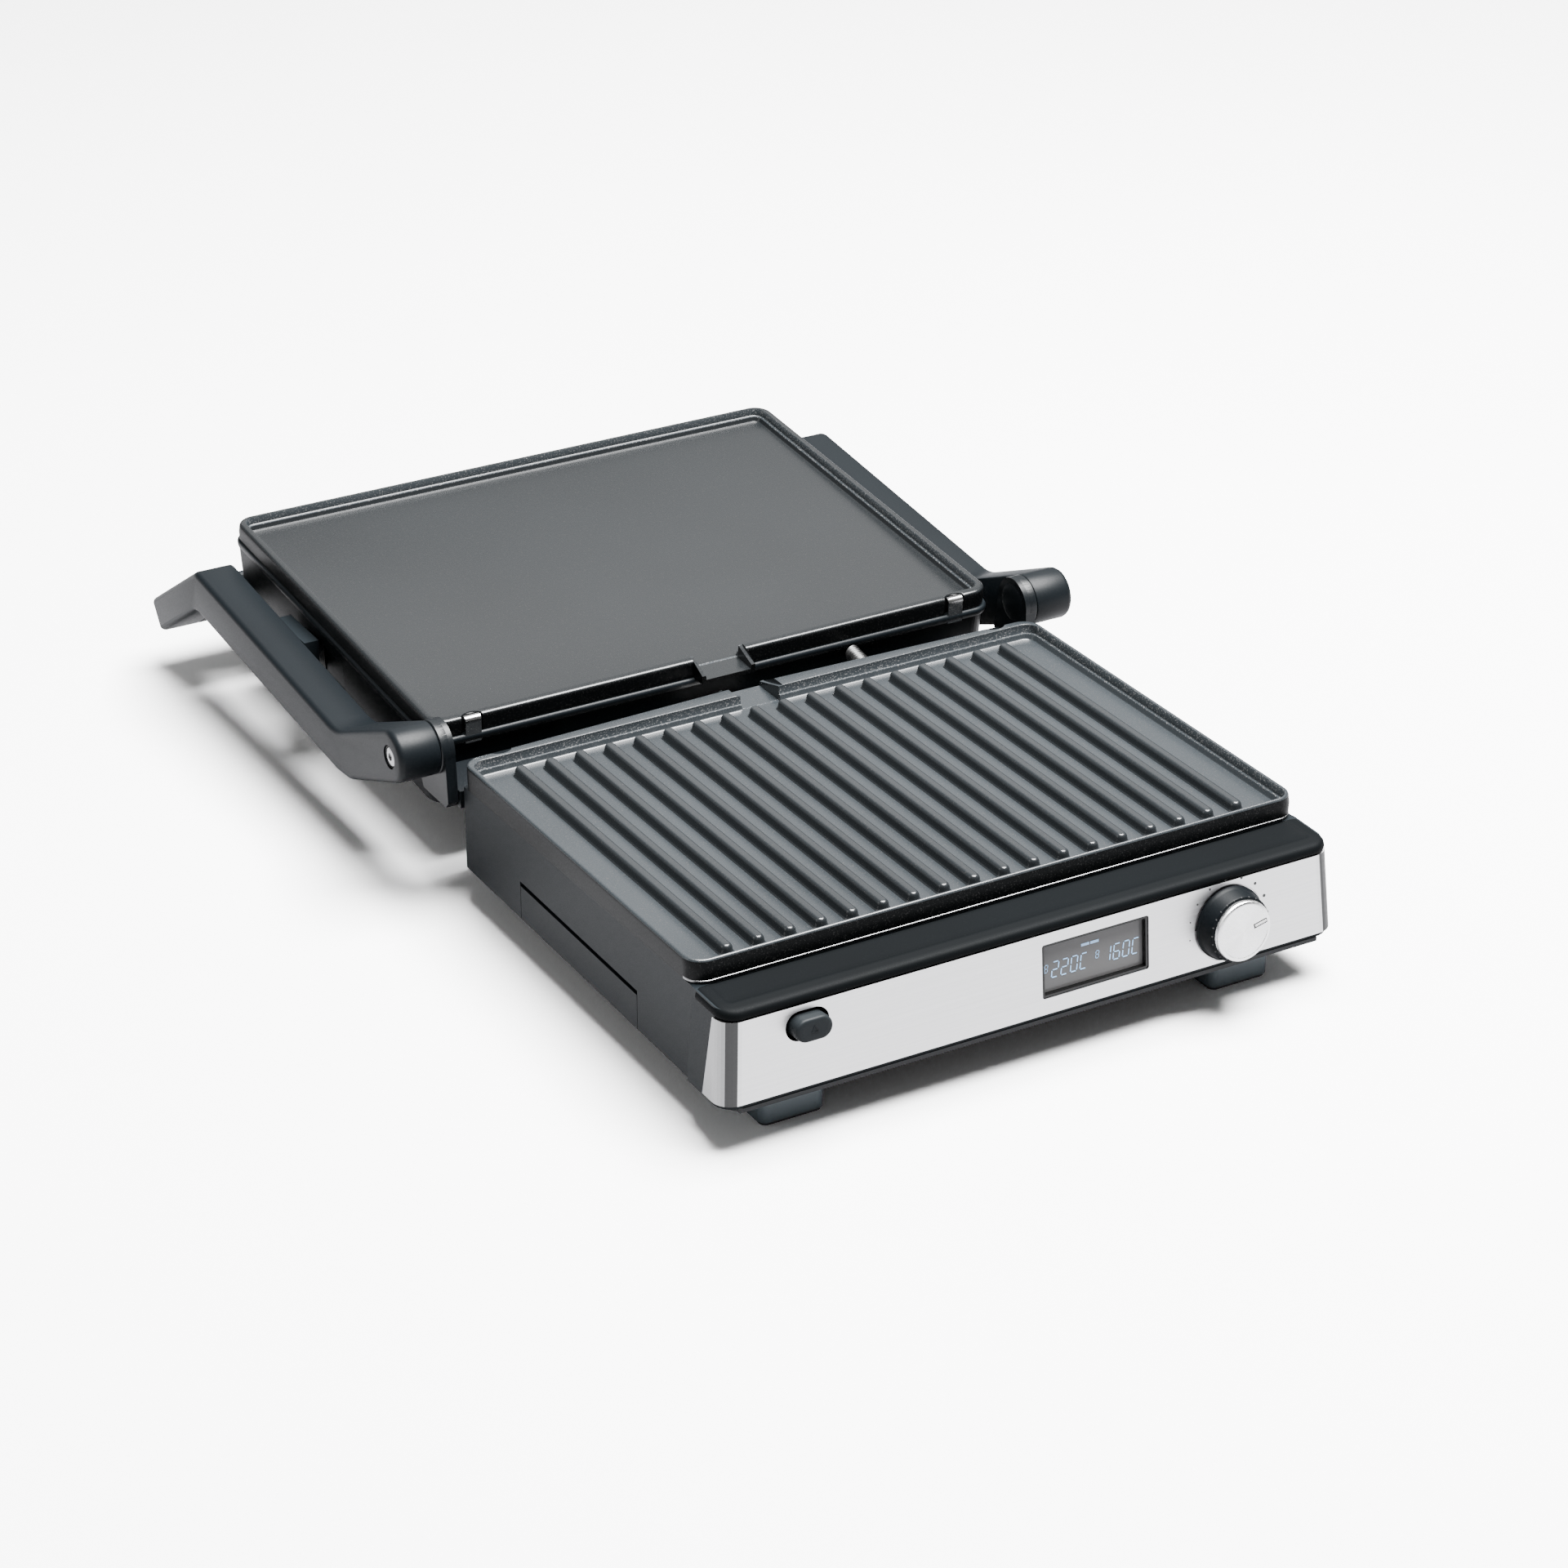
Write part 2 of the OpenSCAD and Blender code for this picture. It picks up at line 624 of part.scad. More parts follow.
// ---------- hinge ----------
module hinge_housing() {
    color([0.16, 0.18, 0.19]) at_hub()
    difference() {
        union() {
            block(-134, 134, base_rear_y, 12, base_z - 1.8, 50);
            block(-base_w / 2 - 0.6, base_w / 2 + 0.6, base_rear_y, 12, bracket_low, 50);
            both_sides() block(80, base_w / 2 + 0.6, base_rear_y, 12, bracket_low, 56);
        }
        block(-134 + wall, 134 - wall, base_rear_y + wall, 12 - wall, base_z, 50 - wall);
        both_sides() block(82, base_w / 2 - wall, base_rear_y + wall, 12 - wall, 46, 56 - wall);
        block(-15.4, 15.4, base_rear_y - 1, 12.8, 38, 60);
        block(-15.4, 15.4, base_rear_y - 1, 12 - wall, base_z + 8, 60);
    }
}
module hinge_brackets() {
    color([0.1, 0.11, 0.12]) at_hub()
    both_sides() difference() {
        union() {
            translate([0, 0, hub_z]) rod(bracket_in, bracket_out, hub_r);
            side_extrude(bracket_in, bracket_out - 0.6) polygon([[-12.2, hub_z], [-13.6, bracket_low + 3],
                [-11, bracket_low], [12, bracket_low], [16, 56], [12.2, hub_z]]);
            side_extrude(base_w / 2 + 0.6, bracket_in)
                polygon([[-12, 55], [-11, bracket_low], [11, bracket_low], [11, 55]]);
        }
        translate([0, 0, hub_z]) rod(pin_start, bracket_out + 1, pin_r);
    }
}
module hinge_pins() {
    color([0.7, 0.7, 0.72]) at_hub()
    both_sides() translate([0, 0, hub_z]) difference() {
        rod(pin_start, pin_end, pin_r);
        rod(pin_end - 10, pin_end + 1, 1.8);
    }
}
module friction_washers() {
    color([0.85, 0.85, 0.8]) at_hub()
    both_sides() translate([0, 0, hub_z]) difference() {
        rod(bracket_out, bracket_out + washer_t, 9);
        rod(bracket_out - 1, bracket_out + 2, pin_r);
    }
}
module hub_washers() {
    color([0.3, 0.3, 0.31]) at_hub()
    both_sides() translate([0, 0, hub_z]) difference() {
        rod(screw_seat + 0.4, screw_seat + 1.4, 5.2);
        rod(screw_seat - 1, screw_seat + 2, 1.9);
    }
}
module hub_screws() {
    color([0.85, 0.85, 0.86]) at_hub()
    both_sides() translate([0, 0, hub_z]) difference() {
        union() {
            rod(pin_end - 9, screw_seat + 1.5, 1.75);
            rod(screw_seat + 1.4, screw_seat + 4.2, 4.4);
        }
        translate([screw_seat + 2.4, 0, 0]) rotate([0, 90, 0]) cylinder(r = 2, h = 4, $fn = 6);
    }
}
module cable_conduit() {
    color([0.6, 0.6, 0.62]) at_hub()
    translate([conduit_x, 0, 0]) difference() {
        translate([0, base_rear_y + 0.4, 55.5]) rotate([-81, 0, 0]) cylinder(r = 4, h = 31);
        translate([0, base_rear_y - 2, 55.1]) rotate([-81, 0, 0]) cylinder(r = 3, h = 36);
    }
}

// ---------- handle ----------
// Side view of an arm as (y, z)
module arm_side() {
    rounded([[-4.6, hub_z - 11.2, 0], [5, hub_z + 11.1, 0], [59.9, 59.9, 30], [223.5, 74.8, 9],
        [285.6, 35.2, 3],
        [275.6, 21, 3], [225.5, 53.2, 12], [61, 39.4, 22], [47, 40.6, 12]]);
}
module arm_right() {
    color([0.3, 0.33, 0.35]) at_hub()
    difference() {
        union() {
            side_extrude(arm_in, arm_out) arm_side();
            translate([0, 0, hub_z]) rod(arm_in, arm_out, hub_r);
        }
        translate([0, 0, hub_z]) rod(arm_in - 1, screw_seat, pin_r + pin_gap);
        translate([0, 0, hub_z]) rod(screw_seat - 0.01, arm_out + 1, 5.6);
        for (p = grip_screw_at) translate([0, p[0], p[1]]) rod(arm_in - 1, arm_in + 12, 2);
    }
}
module arm_left() {
    mirror([1, 0, 0]) arm_right();
}
module grip_bar() {
    color([0.2, 0.22, 0.24]) at_hub()
    side_extrude(-arm_in, arm_in)
        rounded([[253.6, 55.6, 3], [285.6, 35.2, 3], [275.6, 21, 3], [246, 40, 3]]);
}
module grip_screws() {
    color([0.6, 0.6, 0.62]) at_hub()
    both_sides() for (p = grip_screw_at) {
        translate([0, p[0], p[1]]) rod(arm_in, arm_in + 12, 2);
    }
}
module pivot_block_right() {
    color([0.24, 0.27, 0.29]) at_hub()
    union() {
        block(base_w / 2 + 0.2, arm_in, 138.5, 171, 52, 67);
        griddle_frame() translate([0, pivot_y, pivot_z]) rod(137, arm_in, pivot_r);
    }
}
module pivot_block_left() {
    mirror([1, 0, 0]) pivot_block_right();
}

// ---------- lid ----------
module lid_slab(inset, z0, z1) {
    hull() {
        for (s = [[z1, 0], [z0, 1]]) {
            translate([0, 0, s[0]]) linear_extrude(eps)
                bar_plan(lid_w - 2 * inset - 2 * lid_draft * s[1], lid_near + inset,
                    lid_far - inset - lid_draft * s[1],
                    plate_r - inset, $fn = small_fn);
        }
    }
}
module lid_housing() {
    color([0.2, 0.22, 0.23]) at_hub()
    griddle_frame() difference() {
        union() {
            difference() {
                lid_slab(0, lid_top - lid_h, lid_top);
                lid_slab(wall, lid_top - lid_h + wall, lid_top + 4);
            }
            // Bosses round the pivot pins
            both_sides() translate([0, pivot_y, pivot_z]) rod(142, lid_w / 2 - 2, 7);
            // Stop behind the release button's spring
            block(3.6, 11, 203.6, 205.8, lid_top - lid_h + 1, -20.2);
        }
        // Side pockets beside the pivot blocks
        both_sides() block(lid_w / 2 - 2, lid_w, pivot_y - 40, pivot_y - 18, pivot_z - 6, pivot_z + 8);
        both_sides() translate([0, pivot_y, pivot_z]) rod(130, 160, pivot_r + pin_gap);
        // Conduit hole and release button opening
        translate([conduit_x, -2, -13.8]) rotate([-90, 0, 0]) cylinder(r = 4.6, h = 8);
        translate([0, 216, -24]) rotate([-90, 0, 0]) linear_extrude(20) obround(24, 12);
    }
}
module lid_frame() {
    color([0.06, 0.06, 0.07]) at_hub()
    griddle_frame() difference() {
        translate([0, 0, lid_top - 3]) linear_extrude(3)
            bar_plan(griddle_w - 6.4, 3.6, griddle_d - 3.6, plate_r - 3);
        translate([0, 0, lid_top - 8]) linear_extrude(20)
            bar_plan(griddle_w - 26, 14, griddle_d - 14, plate_r - 4);
        translate([conduit_x, -2, -13.8]) rotate([-90, 0, 0]) cylinder(r = 4.6, h = 20);
    }
}
module griddle_clips() {
    color([0.85, 0.85, 0.86]) at_hub()
    griddle_frame() for (x = [-clip_x, clip_x]) {
        block(x - 4.4, x + 4.4, -0.6, 0.2, -16, -1);
        block(x - 3, x + 3, -0.6, 0.8, -1.8, -1);
    }
}
module upper_reflector() {
    color([0.72, 0.72, 0.73]) at_hub()
    griddle_frame() difference() {
        translate([0, 0, -20]) linear_extrude(7) bar_plan(268, 17, griddle_d - 17, 8);
        translate([0, 0, -19]) linear_extrude(8) bar_plan(266, 18, griddle_d - 18, 7);
        for (x = [-60, 60]) translate([x, 112, -22]) cylinder(r = 4.2, h = 4);
    }
}
module upper_heater() {
    color([0.35, 0.33, 0.32]) at_hub()
    griddle_frame() translate([0, 0, -13.6]) element(200, 44, 180);
}
module upper_thermostat() {
    color([0.8, 0.78, 0.7]) at_hub()
    griddle_frame() for (x = [-60, 60]) translate([x, 112, -24]) {
        cylinder(r = 4, h = 14.8);
        translate([0, 0, -2]) cylinder(r = 7, h = 4);
    }
}
module levelling_springs() {
    color([0.7, 0.7, 0.72]) at_hub()
    griddle_frame() both_sides() translate([0, pivot_y, pivot_z]) difference() {
        rod(137.5, 141.8, 5.6);
        rod(136, 143, 3.5);
    }
}
module griddle_release() {
    color([0.2, 0.23, 0.25]) at_hub()
    griddle_frame() union() {
        translate([0, 213, -24]) rotate([-90, 0, 0]) linear_extrude(14) obround(22, 10);
        block(-3, 3, 206, 213, -26, -22);
    }
}
module griddle_release_spring() {
    color([0.7, 0.7, 0.72]) at_hub()
    griddle_frame() translate([7, 206, -24]) rotate([-90, 0, 0])
        rotate_extrude() translate([1.8, 0]) square([0.8, 6.4]);
}

base_front();
wall_left();
wall_right();
rear_wall();
bottom_cover();
front_panel();
display_bezel();
display_glass();
display_module();
control_board();
power_board();
knob_skirt();
knob_cap();
encoder();
release_button();
button_spring();
latch_bar();
feet();
foot_pads();
bottom_screws();
drip_tray();
drain_gutter();
lower_reflector();
lower_heater();
lower_thermostat();
grill_plate();
lower_clips();
hinge_housing();
hinge_brackets();
hinge_pins();
friction_washers();
hub_washers();
hub_screws();
cord_gland();
cable_conduit();
arm_left();
arm_right();
grip_bar();
grip_screws();
pivot_block_left();
pivot_block_right();
lid_housing();
lid_frame();
griddle_plate();
griddle_clips();
upper_reflector();
upper_heater();
upper_thermostat();
levelling_springs();
griddle_release();
griddle_release_spring();
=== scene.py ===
"""Contact grill opened flat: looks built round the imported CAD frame. Metres."""
import json
import math
import bmesh
import bpy
from mathutils import Matrix, Vector


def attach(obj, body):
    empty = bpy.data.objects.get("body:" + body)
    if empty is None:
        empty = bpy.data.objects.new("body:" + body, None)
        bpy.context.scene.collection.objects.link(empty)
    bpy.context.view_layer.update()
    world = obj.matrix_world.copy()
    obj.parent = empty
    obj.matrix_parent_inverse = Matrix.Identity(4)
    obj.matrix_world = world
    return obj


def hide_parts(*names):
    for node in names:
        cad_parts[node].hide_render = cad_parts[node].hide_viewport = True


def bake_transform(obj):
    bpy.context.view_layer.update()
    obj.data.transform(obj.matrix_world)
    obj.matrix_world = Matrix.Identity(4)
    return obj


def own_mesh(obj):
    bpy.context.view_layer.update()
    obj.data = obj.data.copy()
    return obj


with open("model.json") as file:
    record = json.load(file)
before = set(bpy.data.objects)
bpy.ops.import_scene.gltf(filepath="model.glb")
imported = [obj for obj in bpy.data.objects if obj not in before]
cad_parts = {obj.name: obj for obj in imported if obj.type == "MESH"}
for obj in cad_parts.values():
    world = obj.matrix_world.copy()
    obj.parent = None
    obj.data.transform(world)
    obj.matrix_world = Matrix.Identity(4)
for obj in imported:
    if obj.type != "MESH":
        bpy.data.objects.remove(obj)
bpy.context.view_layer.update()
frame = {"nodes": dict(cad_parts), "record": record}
nodes = frame["nodes"]
MM = 0.001                    # parts are drawn in millimetres
HY = -5.168334795 * MM        # hinge axis, y
HUB_Z = 73.5                  # hinge axis, z, mm
HUB = Vector((0, HY, HUB_Z * MM))


def turn(deg, axis="X"):
    return Matrix.Rotation(math.radians(deg), 4, axis)


def at(x, y, z):
    """Millimetres from the hinge axis in x and y, from the ground in z."""
    return Matrix.Translation((x * MM, HY + y * MM, z * MM))


# Frames that the parts are drawn in: the two plates' tops, the front panel's face, and the ground
GRILL = at(0, -16.1, 72.4) @ turn(-0.87)
GRIDDLE = at(0, 16.25, 75.1) @ turn(3.9)
PANEL = at(0, -258.6, 60.2) @ turn(-5)
BASE = at(0, 0, 0)


# ---------- materials ----------
class Mat:
    """A Principled material with helpers for its procedural inputs."""

    def __init__(self, name, **sockets):
        self.m = bpy.data.materials.new(name)
        self.m.use_nodes = True
        self.t = self.m.node_tree
        self.b = self.t.nodes["Principled BSDF"]
        for k, v in sockets.items():
            self.b.inputs[k.replace("_", " ")].default_value = v
        tc = self.t.nodes.new("ShaderNodeTexCoord")
        self.co = tc.outputs["Object"]

    def mapping(self, scale, rot=(0, 0, 0)):
        n = self.t.nodes.new("ShaderNodeMapping")
        n.inputs["Scale"].default_value = scale
        n.inputs["Rotation"].default_value = rot
        self.t.links.new(self.co, n.inputs["Vector"])
        return n.outputs["Vector"]

    def noise(self, scale, detail=2.0, vector=None, rough=0.5):
        n = self.t.nodes.new("ShaderNodeTexNoise")
        n.inputs["Scale"].default_value = scale
        n.inputs["Detail"].default_value = detail
        n.inputs["Roughness"].default_value = rough
        self.t.links.new(vector or self.co, n.inputs["Vector"])
        return n.outputs["Fac"]

    def ramp(self, fac, stops):
        n = self.t.nodes.new("ShaderNodeValToRGB")
        r = n.color_ramp
        while len(r.elements) < len(stops):
            r.elements.new(0.5)
        for e, (p, c) in zip(r.elements, stops):
            e.position = p
            e.color = (*c, 1) if len(c) == 3 else c
        self.t.links.new(fac, n.inputs["Fac"])
        return n.outputs["Color"]

    def span(self, fac, lo, hi, a=0.0, b=1.0):
        n = self.t.nodes.new("ShaderNodeMapRange")
        for k, v in (("From Min", a), ("From Max", b), ("To Min", lo), ("To Max", hi)):
            n.inputs[k].default_value = v
        self.t.links.new(fac, n.inputs["Value"])
        return n.outputs["Result"]

    def mix(self, fac, a, b, blend="MIX"):
        n = self.t.nodes.new("ShaderNodeMixRGB")
        n.blend_type = blend
        for k, v in (("Fac", fac), ("Color1", a), ("Color2", b)):
            if isinstance(v, (float, int, tuple)):
                n.inputs[k].default_value = v
            else:
                self.t.links.new(v, n.inputs[k])
        return n.outputs["Color"]

    def link(self, out, socket):
        self.t.links.new(out, self.b.inputs[socket])

    def bump(self, height, strength, distance, before=None):
        n = self.t.nodes.new("ShaderNodeBump")
        n.inputs["Strength"].default_value = strength
        n.inputs["Distance"].default_value = distance
        self.t.links.new(height, n.inputs["Height"])
        if before:
            self.t.links.new(before, n.inputs["Normal"])
        self.t.links.new(n.outputs["Normal"], self.b.inputs["Normal"])
        return n.outputs["Normal"]


def grey(v, tint=(1, 1, 1)):
    return tuple(v * t for t in tint)


def scaled(color, k):
    return tuple(c * k for c in color)


def plastic(name, color, rough, grain=0.12, spec=0.5, coat=0.0):
    """Moulded plastic: fine spark-eroded grain, slow tone variation."""
    m = Mat(name, Roughness=rough, Specular_IOR_Level=spec, Coat_Weight=coat, Coat_Roughness=0.15)
    slow = m.noise(14.0, 3.0)
    fine = m.noise(2600.0, 2.0)
    m.link(m.ramp(slow, [(0.3, scaled(color, 0.9)), (0.7, scaled(color, 1.1))]), "Base Color")
    m.link(m.span(fine, rough - 0.05, rough + 0.06, 0.3, 0.7), "Roughness")
    m.bump(fine, grain, 0.00012)
    return m.m


def coating(name, color, speck, rough, amount=0.62, spec=0.4, grain=0.07):
    """Speckled non-stick enamel over a cast surface."""
    m = Mat(name, Roughness=rough, Specular_IOR_Level=spec)
    specks = m.noise(1500.0, 2.0, rough=0.6)
    mottled = m.noise(1100.0, 3.0)
    slow = m.noise(9.0, 2.0)
    dots = m.ramp(specks, [(amount, (0, 0, 0)), (amount + 0.06, (1, 1, 1))])
    base = m.ramp(slow, [(0.3, scaled(color, 0.88)), (0.7, scaled(color, 1.12))])
    base = m.mix(m.span(mottled, 0.0, 0.1, 0.4, 0.7), base, (*scaled(color, 1.5), 1))
    m.link(m.mix(dots, base, (*speck, 1)), "Base Color")
    m.link(m.span(mottled, rough - 0.03, rough + 0.04, 0.3, 0.7), "Roughness")
    m.bump(specks, grain, 0.00012)
    return m.m


def brushed(name, color, rough, axis=0, aniso=0.6, bump=0.06):
    """Steel brushed along an axis, with long fine scratches."""
    m = Mat(name, Metallic=1.0, Roughness=rough, Anisotropic=aniso)
    scale = [900.0, 900.0, 900.0]
    scale[axis] = 9.0
    lines = m.noise(1.0, 3.0, m.mapping(tuple(scale)), 0.65)
    slow = m.noise(5.0, 2.0)
    bright = tuple(min(1, c * 1.05) for c in color)
    tone = m.ramp(lines, [(0.25, scaled(color, 0.93)), (0.75, bright)])
    m.link(m.mix(m.span(slow, 0.0, 0.1), tone, (0.78, 0.79, 0.8, 1)), "Base Color")
    m.link(m.span(lines, rough - 0.06, rough + 0.08, 0.25, 0.75), "Roughness")
    m.bump(lines, bump, 0.00008)
    return m.m


def metal(name, color, rough, scale=300.0, bump=0.03):
    """Plain metal with a slight, even grain."""
    m = Mat(name, Metallic=1.0, Roughness=rough)
    n = m.noise(scale, 3.0)
    m.link(m.ramp(n, [(0.3, scaled(color, 0.92)), (0.7, color)]), "Base Color")
    m.link(m.span(n, rough * 0.8, rough * 1.3, 0.3, 0.7), "Roughness")
    m.bump(n, bump, 0.0001)
    return m.m


def glow(name, color, strength):
    """Lit figures of the display."""
    m = Mat(name, Roughness=0.4)
    m.b.inputs["Base Color"].default_value = (*color, 1)
    n = m.noise(800.0, 1.0)
    m.link(m.ramp(n, [(0.3, scaled(color, 0.94)), (0.7, color)]), "Emission Color")
    m.b.inputs["Emission Strength"].default_value = strength
    return m.m


TINT = (0.66, 1.0, 1.30)          # cool cast of the moulded plastics
COAT_TINT = (0.84, 1.0, 1.13)     # cool cast of the enamels
M = {
    "body_grey": plastic("body_plastic", grey(0.0072, (0.74, 1.0, 1.2)), 0.46, spec=0.085),
    "arm_grey": plastic("arm_plastic", grey(0.0030, TINT), 0.44, spec=0.12),
    "hinge_grey": plastic("hinge_plastic", grey(0.0025, TINT), 0.36, spec=0.2),
    "lid_grey": plastic("lid_plastic", grey(0.0022, TINT), 0.42, spec=0.10),
    "lip_grey": plastic("lip_plastic", grey(0.0040, TINT), 0.42, spec=0.15),
    "deck_grey": plastic("deck_plastic", grey(0.0019, (0.76, 1.0, 1.18)), 0.58, spec=0.035),
    "foot_grey": plastic("foot_plastic", grey(0.075, (0.8, 1.0, 1.12)), 0.45, spec=0.3),
    "frame_black": plastic("frame_plastic", grey(0.003), 0.4, spec=0.3),
    "knob_black": plastic("knob_plastic", grey(0.0022, TINT), 0.46, spec=0.07),
    "bezel_black": plastic("bezel_plastic", grey(0.003), 0.2, grain=0.02, spec=0.3),
    "module": plastic("module_plastic", grey(0.02), 0.5),
    "board": plastic("board_lacquer", (0.02, 0.11, 0.05), 0.4),
    "ceramic": plastic("ceramic_glaze", (0.7, 0.66, 0.55), 0.35),
    "rubber_black": plastic("rubber", grey(0.012), 0.75, grain=0.3),
    "grill_coating": coating("grill_enamel", grey(0.0150, COAT_TINT), grey(0.026), 0.27),
    # Darker copy of the grill enamel for the ribs: painted shade, so that their tops read darker than the
    # floor
    "rib_enamel_painted_shade": coating("rib_enamel_painted_shade", grey(0.0085, COAT_TINT), grey(0.016), 0.24),
    "button_grey": plastic("button_plastic", grey(0.0085, (0.8, 1.0, 1.14)), 0.5, spec=0.10),
    "griddle_coating": coating("griddle_enamel", grey(0.0050, COAT_TINT), grey(0.010), 0.26),
    "side_enamel": coating("side_enamel", grey(0.0016, COAT_TINT), grey(0.014), 0.40, 0.6, spec=0.08),
    # Lighter copy of the enamel for the rims' inner walls and ledges: painted light, as if they caught the
    # lamps
    "rim_enamel_painted_light": coating("rim_enamel_painted_light", grey(0.020, COAT_TINT), grey(0.10), 0.32, 0.58, spec=0.3),
    "bare_edge": brushed("bare_edge", grey(0.17), 0.38),
    "steel_small": metal("small_steel", grey(0.6), 0.32),
    "chrome_small": metal("bright_chrome", grey(0.34), 0.22),
    "reflector": metal("reflector_sheet", grey(0.60), 0.42, 900.0, 0.01),
    "heater": plastic("heater_oxide", (0.12, 0.1, 0.09), 0.6),
    "conduit": metal("conduit_strip", grey(0.075), 0.38),
    "mark_white": plastic("mark_print", grey(0.62), 0.5, grain=0.02),
    "mark_black": plastic("mark_dark", grey(0.02), 0.5, grain=0.02),
    "digits": glow("digit_light", (0.26, 0.46, 0.72), 0.62),
    "digits_dim": glow("digit_dim", (0.24, 0.40, 0.62), 0.42),
}

# Panel steel: brushed along X, with a painted reflection set by the surface's direction: light on the face, a
# dark band round the rounded corners and a darker tone on the sides
steel = Mat("panel_steel", Metallic=1.0, Roughness=0.33, Anisotropic=0.6)
lines = steel.noise(1.0, 3.0, steel.mapping((9.0, 900.0, 900.0)), 0.65)
tone = steel.ramp(lines, [(0.25, grey(0.60)), (0.75, grey(0.70))])
steel_tc = steel.t.nodes.new("ShaderNodeTexCoord")
split = steel.t.nodes.new("ShaderNodeSeparateXYZ")
steel.t.links.new(steel_tc.outputs["Normal"], split.inputs[0])
side_turn = steel.t.nodes.new("ShaderNodeMath")
side_turn.operation = "ABSOLUTE"
steel.t.links.new(split.outputs["X"], side_turn.inputs[0])
# Painted reflection: darkens the steel by how far its surface turns sideways
painted_reflection_band = steel.ramp(side_turn.outputs[0],
                  [(0.0, grey(1.0)), (0.14, grey(0.9)), (0.26, grey(0.07)),
                   (0.66, grey(0.065)), (0.74, grey(0.34)), (1.0, grey(0.46))])
steel.link(steel.mix(1.0, tone, painted_reflection_band, "MULTIPLY"), "Base Color")
steel.link(steel.span(lines, 0.27, 0.42, 0.25, 0.75), "Roughness")
steel.bump(lines, 0.06, 0.00008)
M["steel_panel"] = steel.m

# Spun cap: turned round its own axis
cap = Mat("cap_metal", Metallic=1.0, Roughness=0.26, Anisotropic=0.85)
cap_tangent = cap.t.nodes.new("ShaderNodeTangent")
cap_tangent.direction_type = "RADIAL"
cap_tangent.axis = "Y"
cap.t.links.new(cap_tangent.outputs["Tangent"], cap.b.inputs["Tangent"])
cap_grain = cap.noise(600.0, 3.0)
cap.link(cap.ramp(cap_grain, [(0.3, grey(0.80)), (0.7, grey(0.92))]), "Base Color")
cap.link(cap.span(cap_grain, 0.22, 0.32, 0.3, 0.7), "Roughness")
M["knob_cap"] = cap.m

# Display window: dark, smooth, opaque
glass = Mat("window_glass", Roughness=0.12, Specular_IOR_Level=0.16)
glass_tone = glass.ramp(glass.noise(20.0), [(0.3, (0.082, 0.081, 0.081)), (0.7, (0.092, 0.091, 0.091))])
glass.link(glass_tone, "Base Color")
glass.link(glass.span(glass.noise(300.0), 0.1, 0.16), "Roughness")
M["display"] = glass.m

# Carried-over CAD parts take the material of their slot
SLOT_OF = {s["node"]: s["material_slot"] for s in frame["record"]["subparts"]}
for name, ob in nodes.items():
    slot = SLOT_OF[name]
    ob.data.materials.clear()
    ob.data.materials.append(M[slot])
    ob.data.shade_smooth()
    ob.data.set_sharp_from_angle(angle=math.radians(28))


def soften(ob, width, segments=2, angle=40):
    """Bevels the sharp edges; width in mm."""
    b = ob.modifiers.new("edge", "BEVEL")
    b.width = width * MM
    b.segments = segments
    b.limit_method = "ANGLE"
    b.angle_limit = math.radians(angle)
    b.harden_normals = False


# ---------- mesh helpers ----------
def piece(name, parts, mat, body, matrix=BASE, replaces=(), angle=32, mirror=False):
    """One object from (verts in mm, faces[, material number per face]) parts."""
    verts, faces, idx = [], [], []
    for p in parts:
        off = len(verts)
        verts += [Vector(v) * MM for v in p[0]]
        faces += [[i + off for i in f] for f in p[1]]
        idx += list(p[2]) if len(p) > 2 else [0] * len(p[1])
    me = bpy.data.meshes.new(name)
    me.from_pydata(verts, [], faces)
    mats = mat if isinstance(mat, (list, tuple)) else [mat]
    for k in mats:
        me.materials.append(M[k])
    for poly, i in zip(me.polygons, idx):
        poly.material_index = i
    me.transform(matrix)
    if mirror:
        me.transform(Matrix.Scale(-1, 4, (1, 0, 0)))
    bm = bmesh.new()
    bm.from_mesh(me)
    bmesh.ops.remove_doubles(bm, verts=bm.verts, dist=2e-6)
    bmesh.ops.recalc_face_normals(bm, faces=bm.faces)
    bm.to_mesh(me)
    bm.free()
    me.shade_smooth()
    me.set_sharp_from_angle(angle=math.radians(angle))
    ob = bpy.data.objects.new(name, me)
    bpy.context.scene.collection.objects.link(ob)
    if body:
        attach(ob, body)
    if replaces:
        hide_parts(*replaces)
    return ob


def loft(loops, ring=False):
    """Skins closed loops: capped at both ends, or joined end to end as a ring."""
    n = len(loops[0])
    verts = [v for lp in loops for v in lp]
    faces = []
    rows = len(loops) if ring else len(loops) - 1
    for a in range(rows):
        b = (a + 1) % len(loops)
        for i in range(n):
            j = (i + 1) % n
            faces.append([a * n + i, a * n + j, b * n + j, b * n + i])
    if not ring:
        faces.append(list(range(n))[::-1])
        faces.append([(len(loops) - 1) * n + i for i in range(n)])
    return verts, faces


def rrect(hw, y0, y1, r, z, n=7):
    """Rounded rectangle loop; r is one radius, or a pair for the y0 and y1 ends."""
    r0, r1 = r if isinstance(r, tuple) else (r, r)
    pts = []
    for cx, cy, a0, rr in ((hw - r0, y0 + r0, -90, r0), (hw - r1, y1 - r1, 0, r1),
                           (-hw + r1, y1 - r1, 90, r1), (-hw + r0, y0 + r0, 180, r0)):
        for i in range(n + 1):
            a = math.radians(a0 + 90 * i / n)
            pts.append((cx + rr * math.cos(a), cy + rr * math.sin(a), z))
    return pts


def turned(profile, n):
    """One circle of n points for each (radius, height)."""
    return [[(r * math.cos(2 * math.pi * i / n), r * math.sin(2 * math.pi * i / n), h) for i in range(n)]
            for r, h in profile]


def lathe(profile, n=72):
    """Turns a (radius, height) profile round +Z; it starts and ends at radius 0."""
    return loft(turned(profile, n))


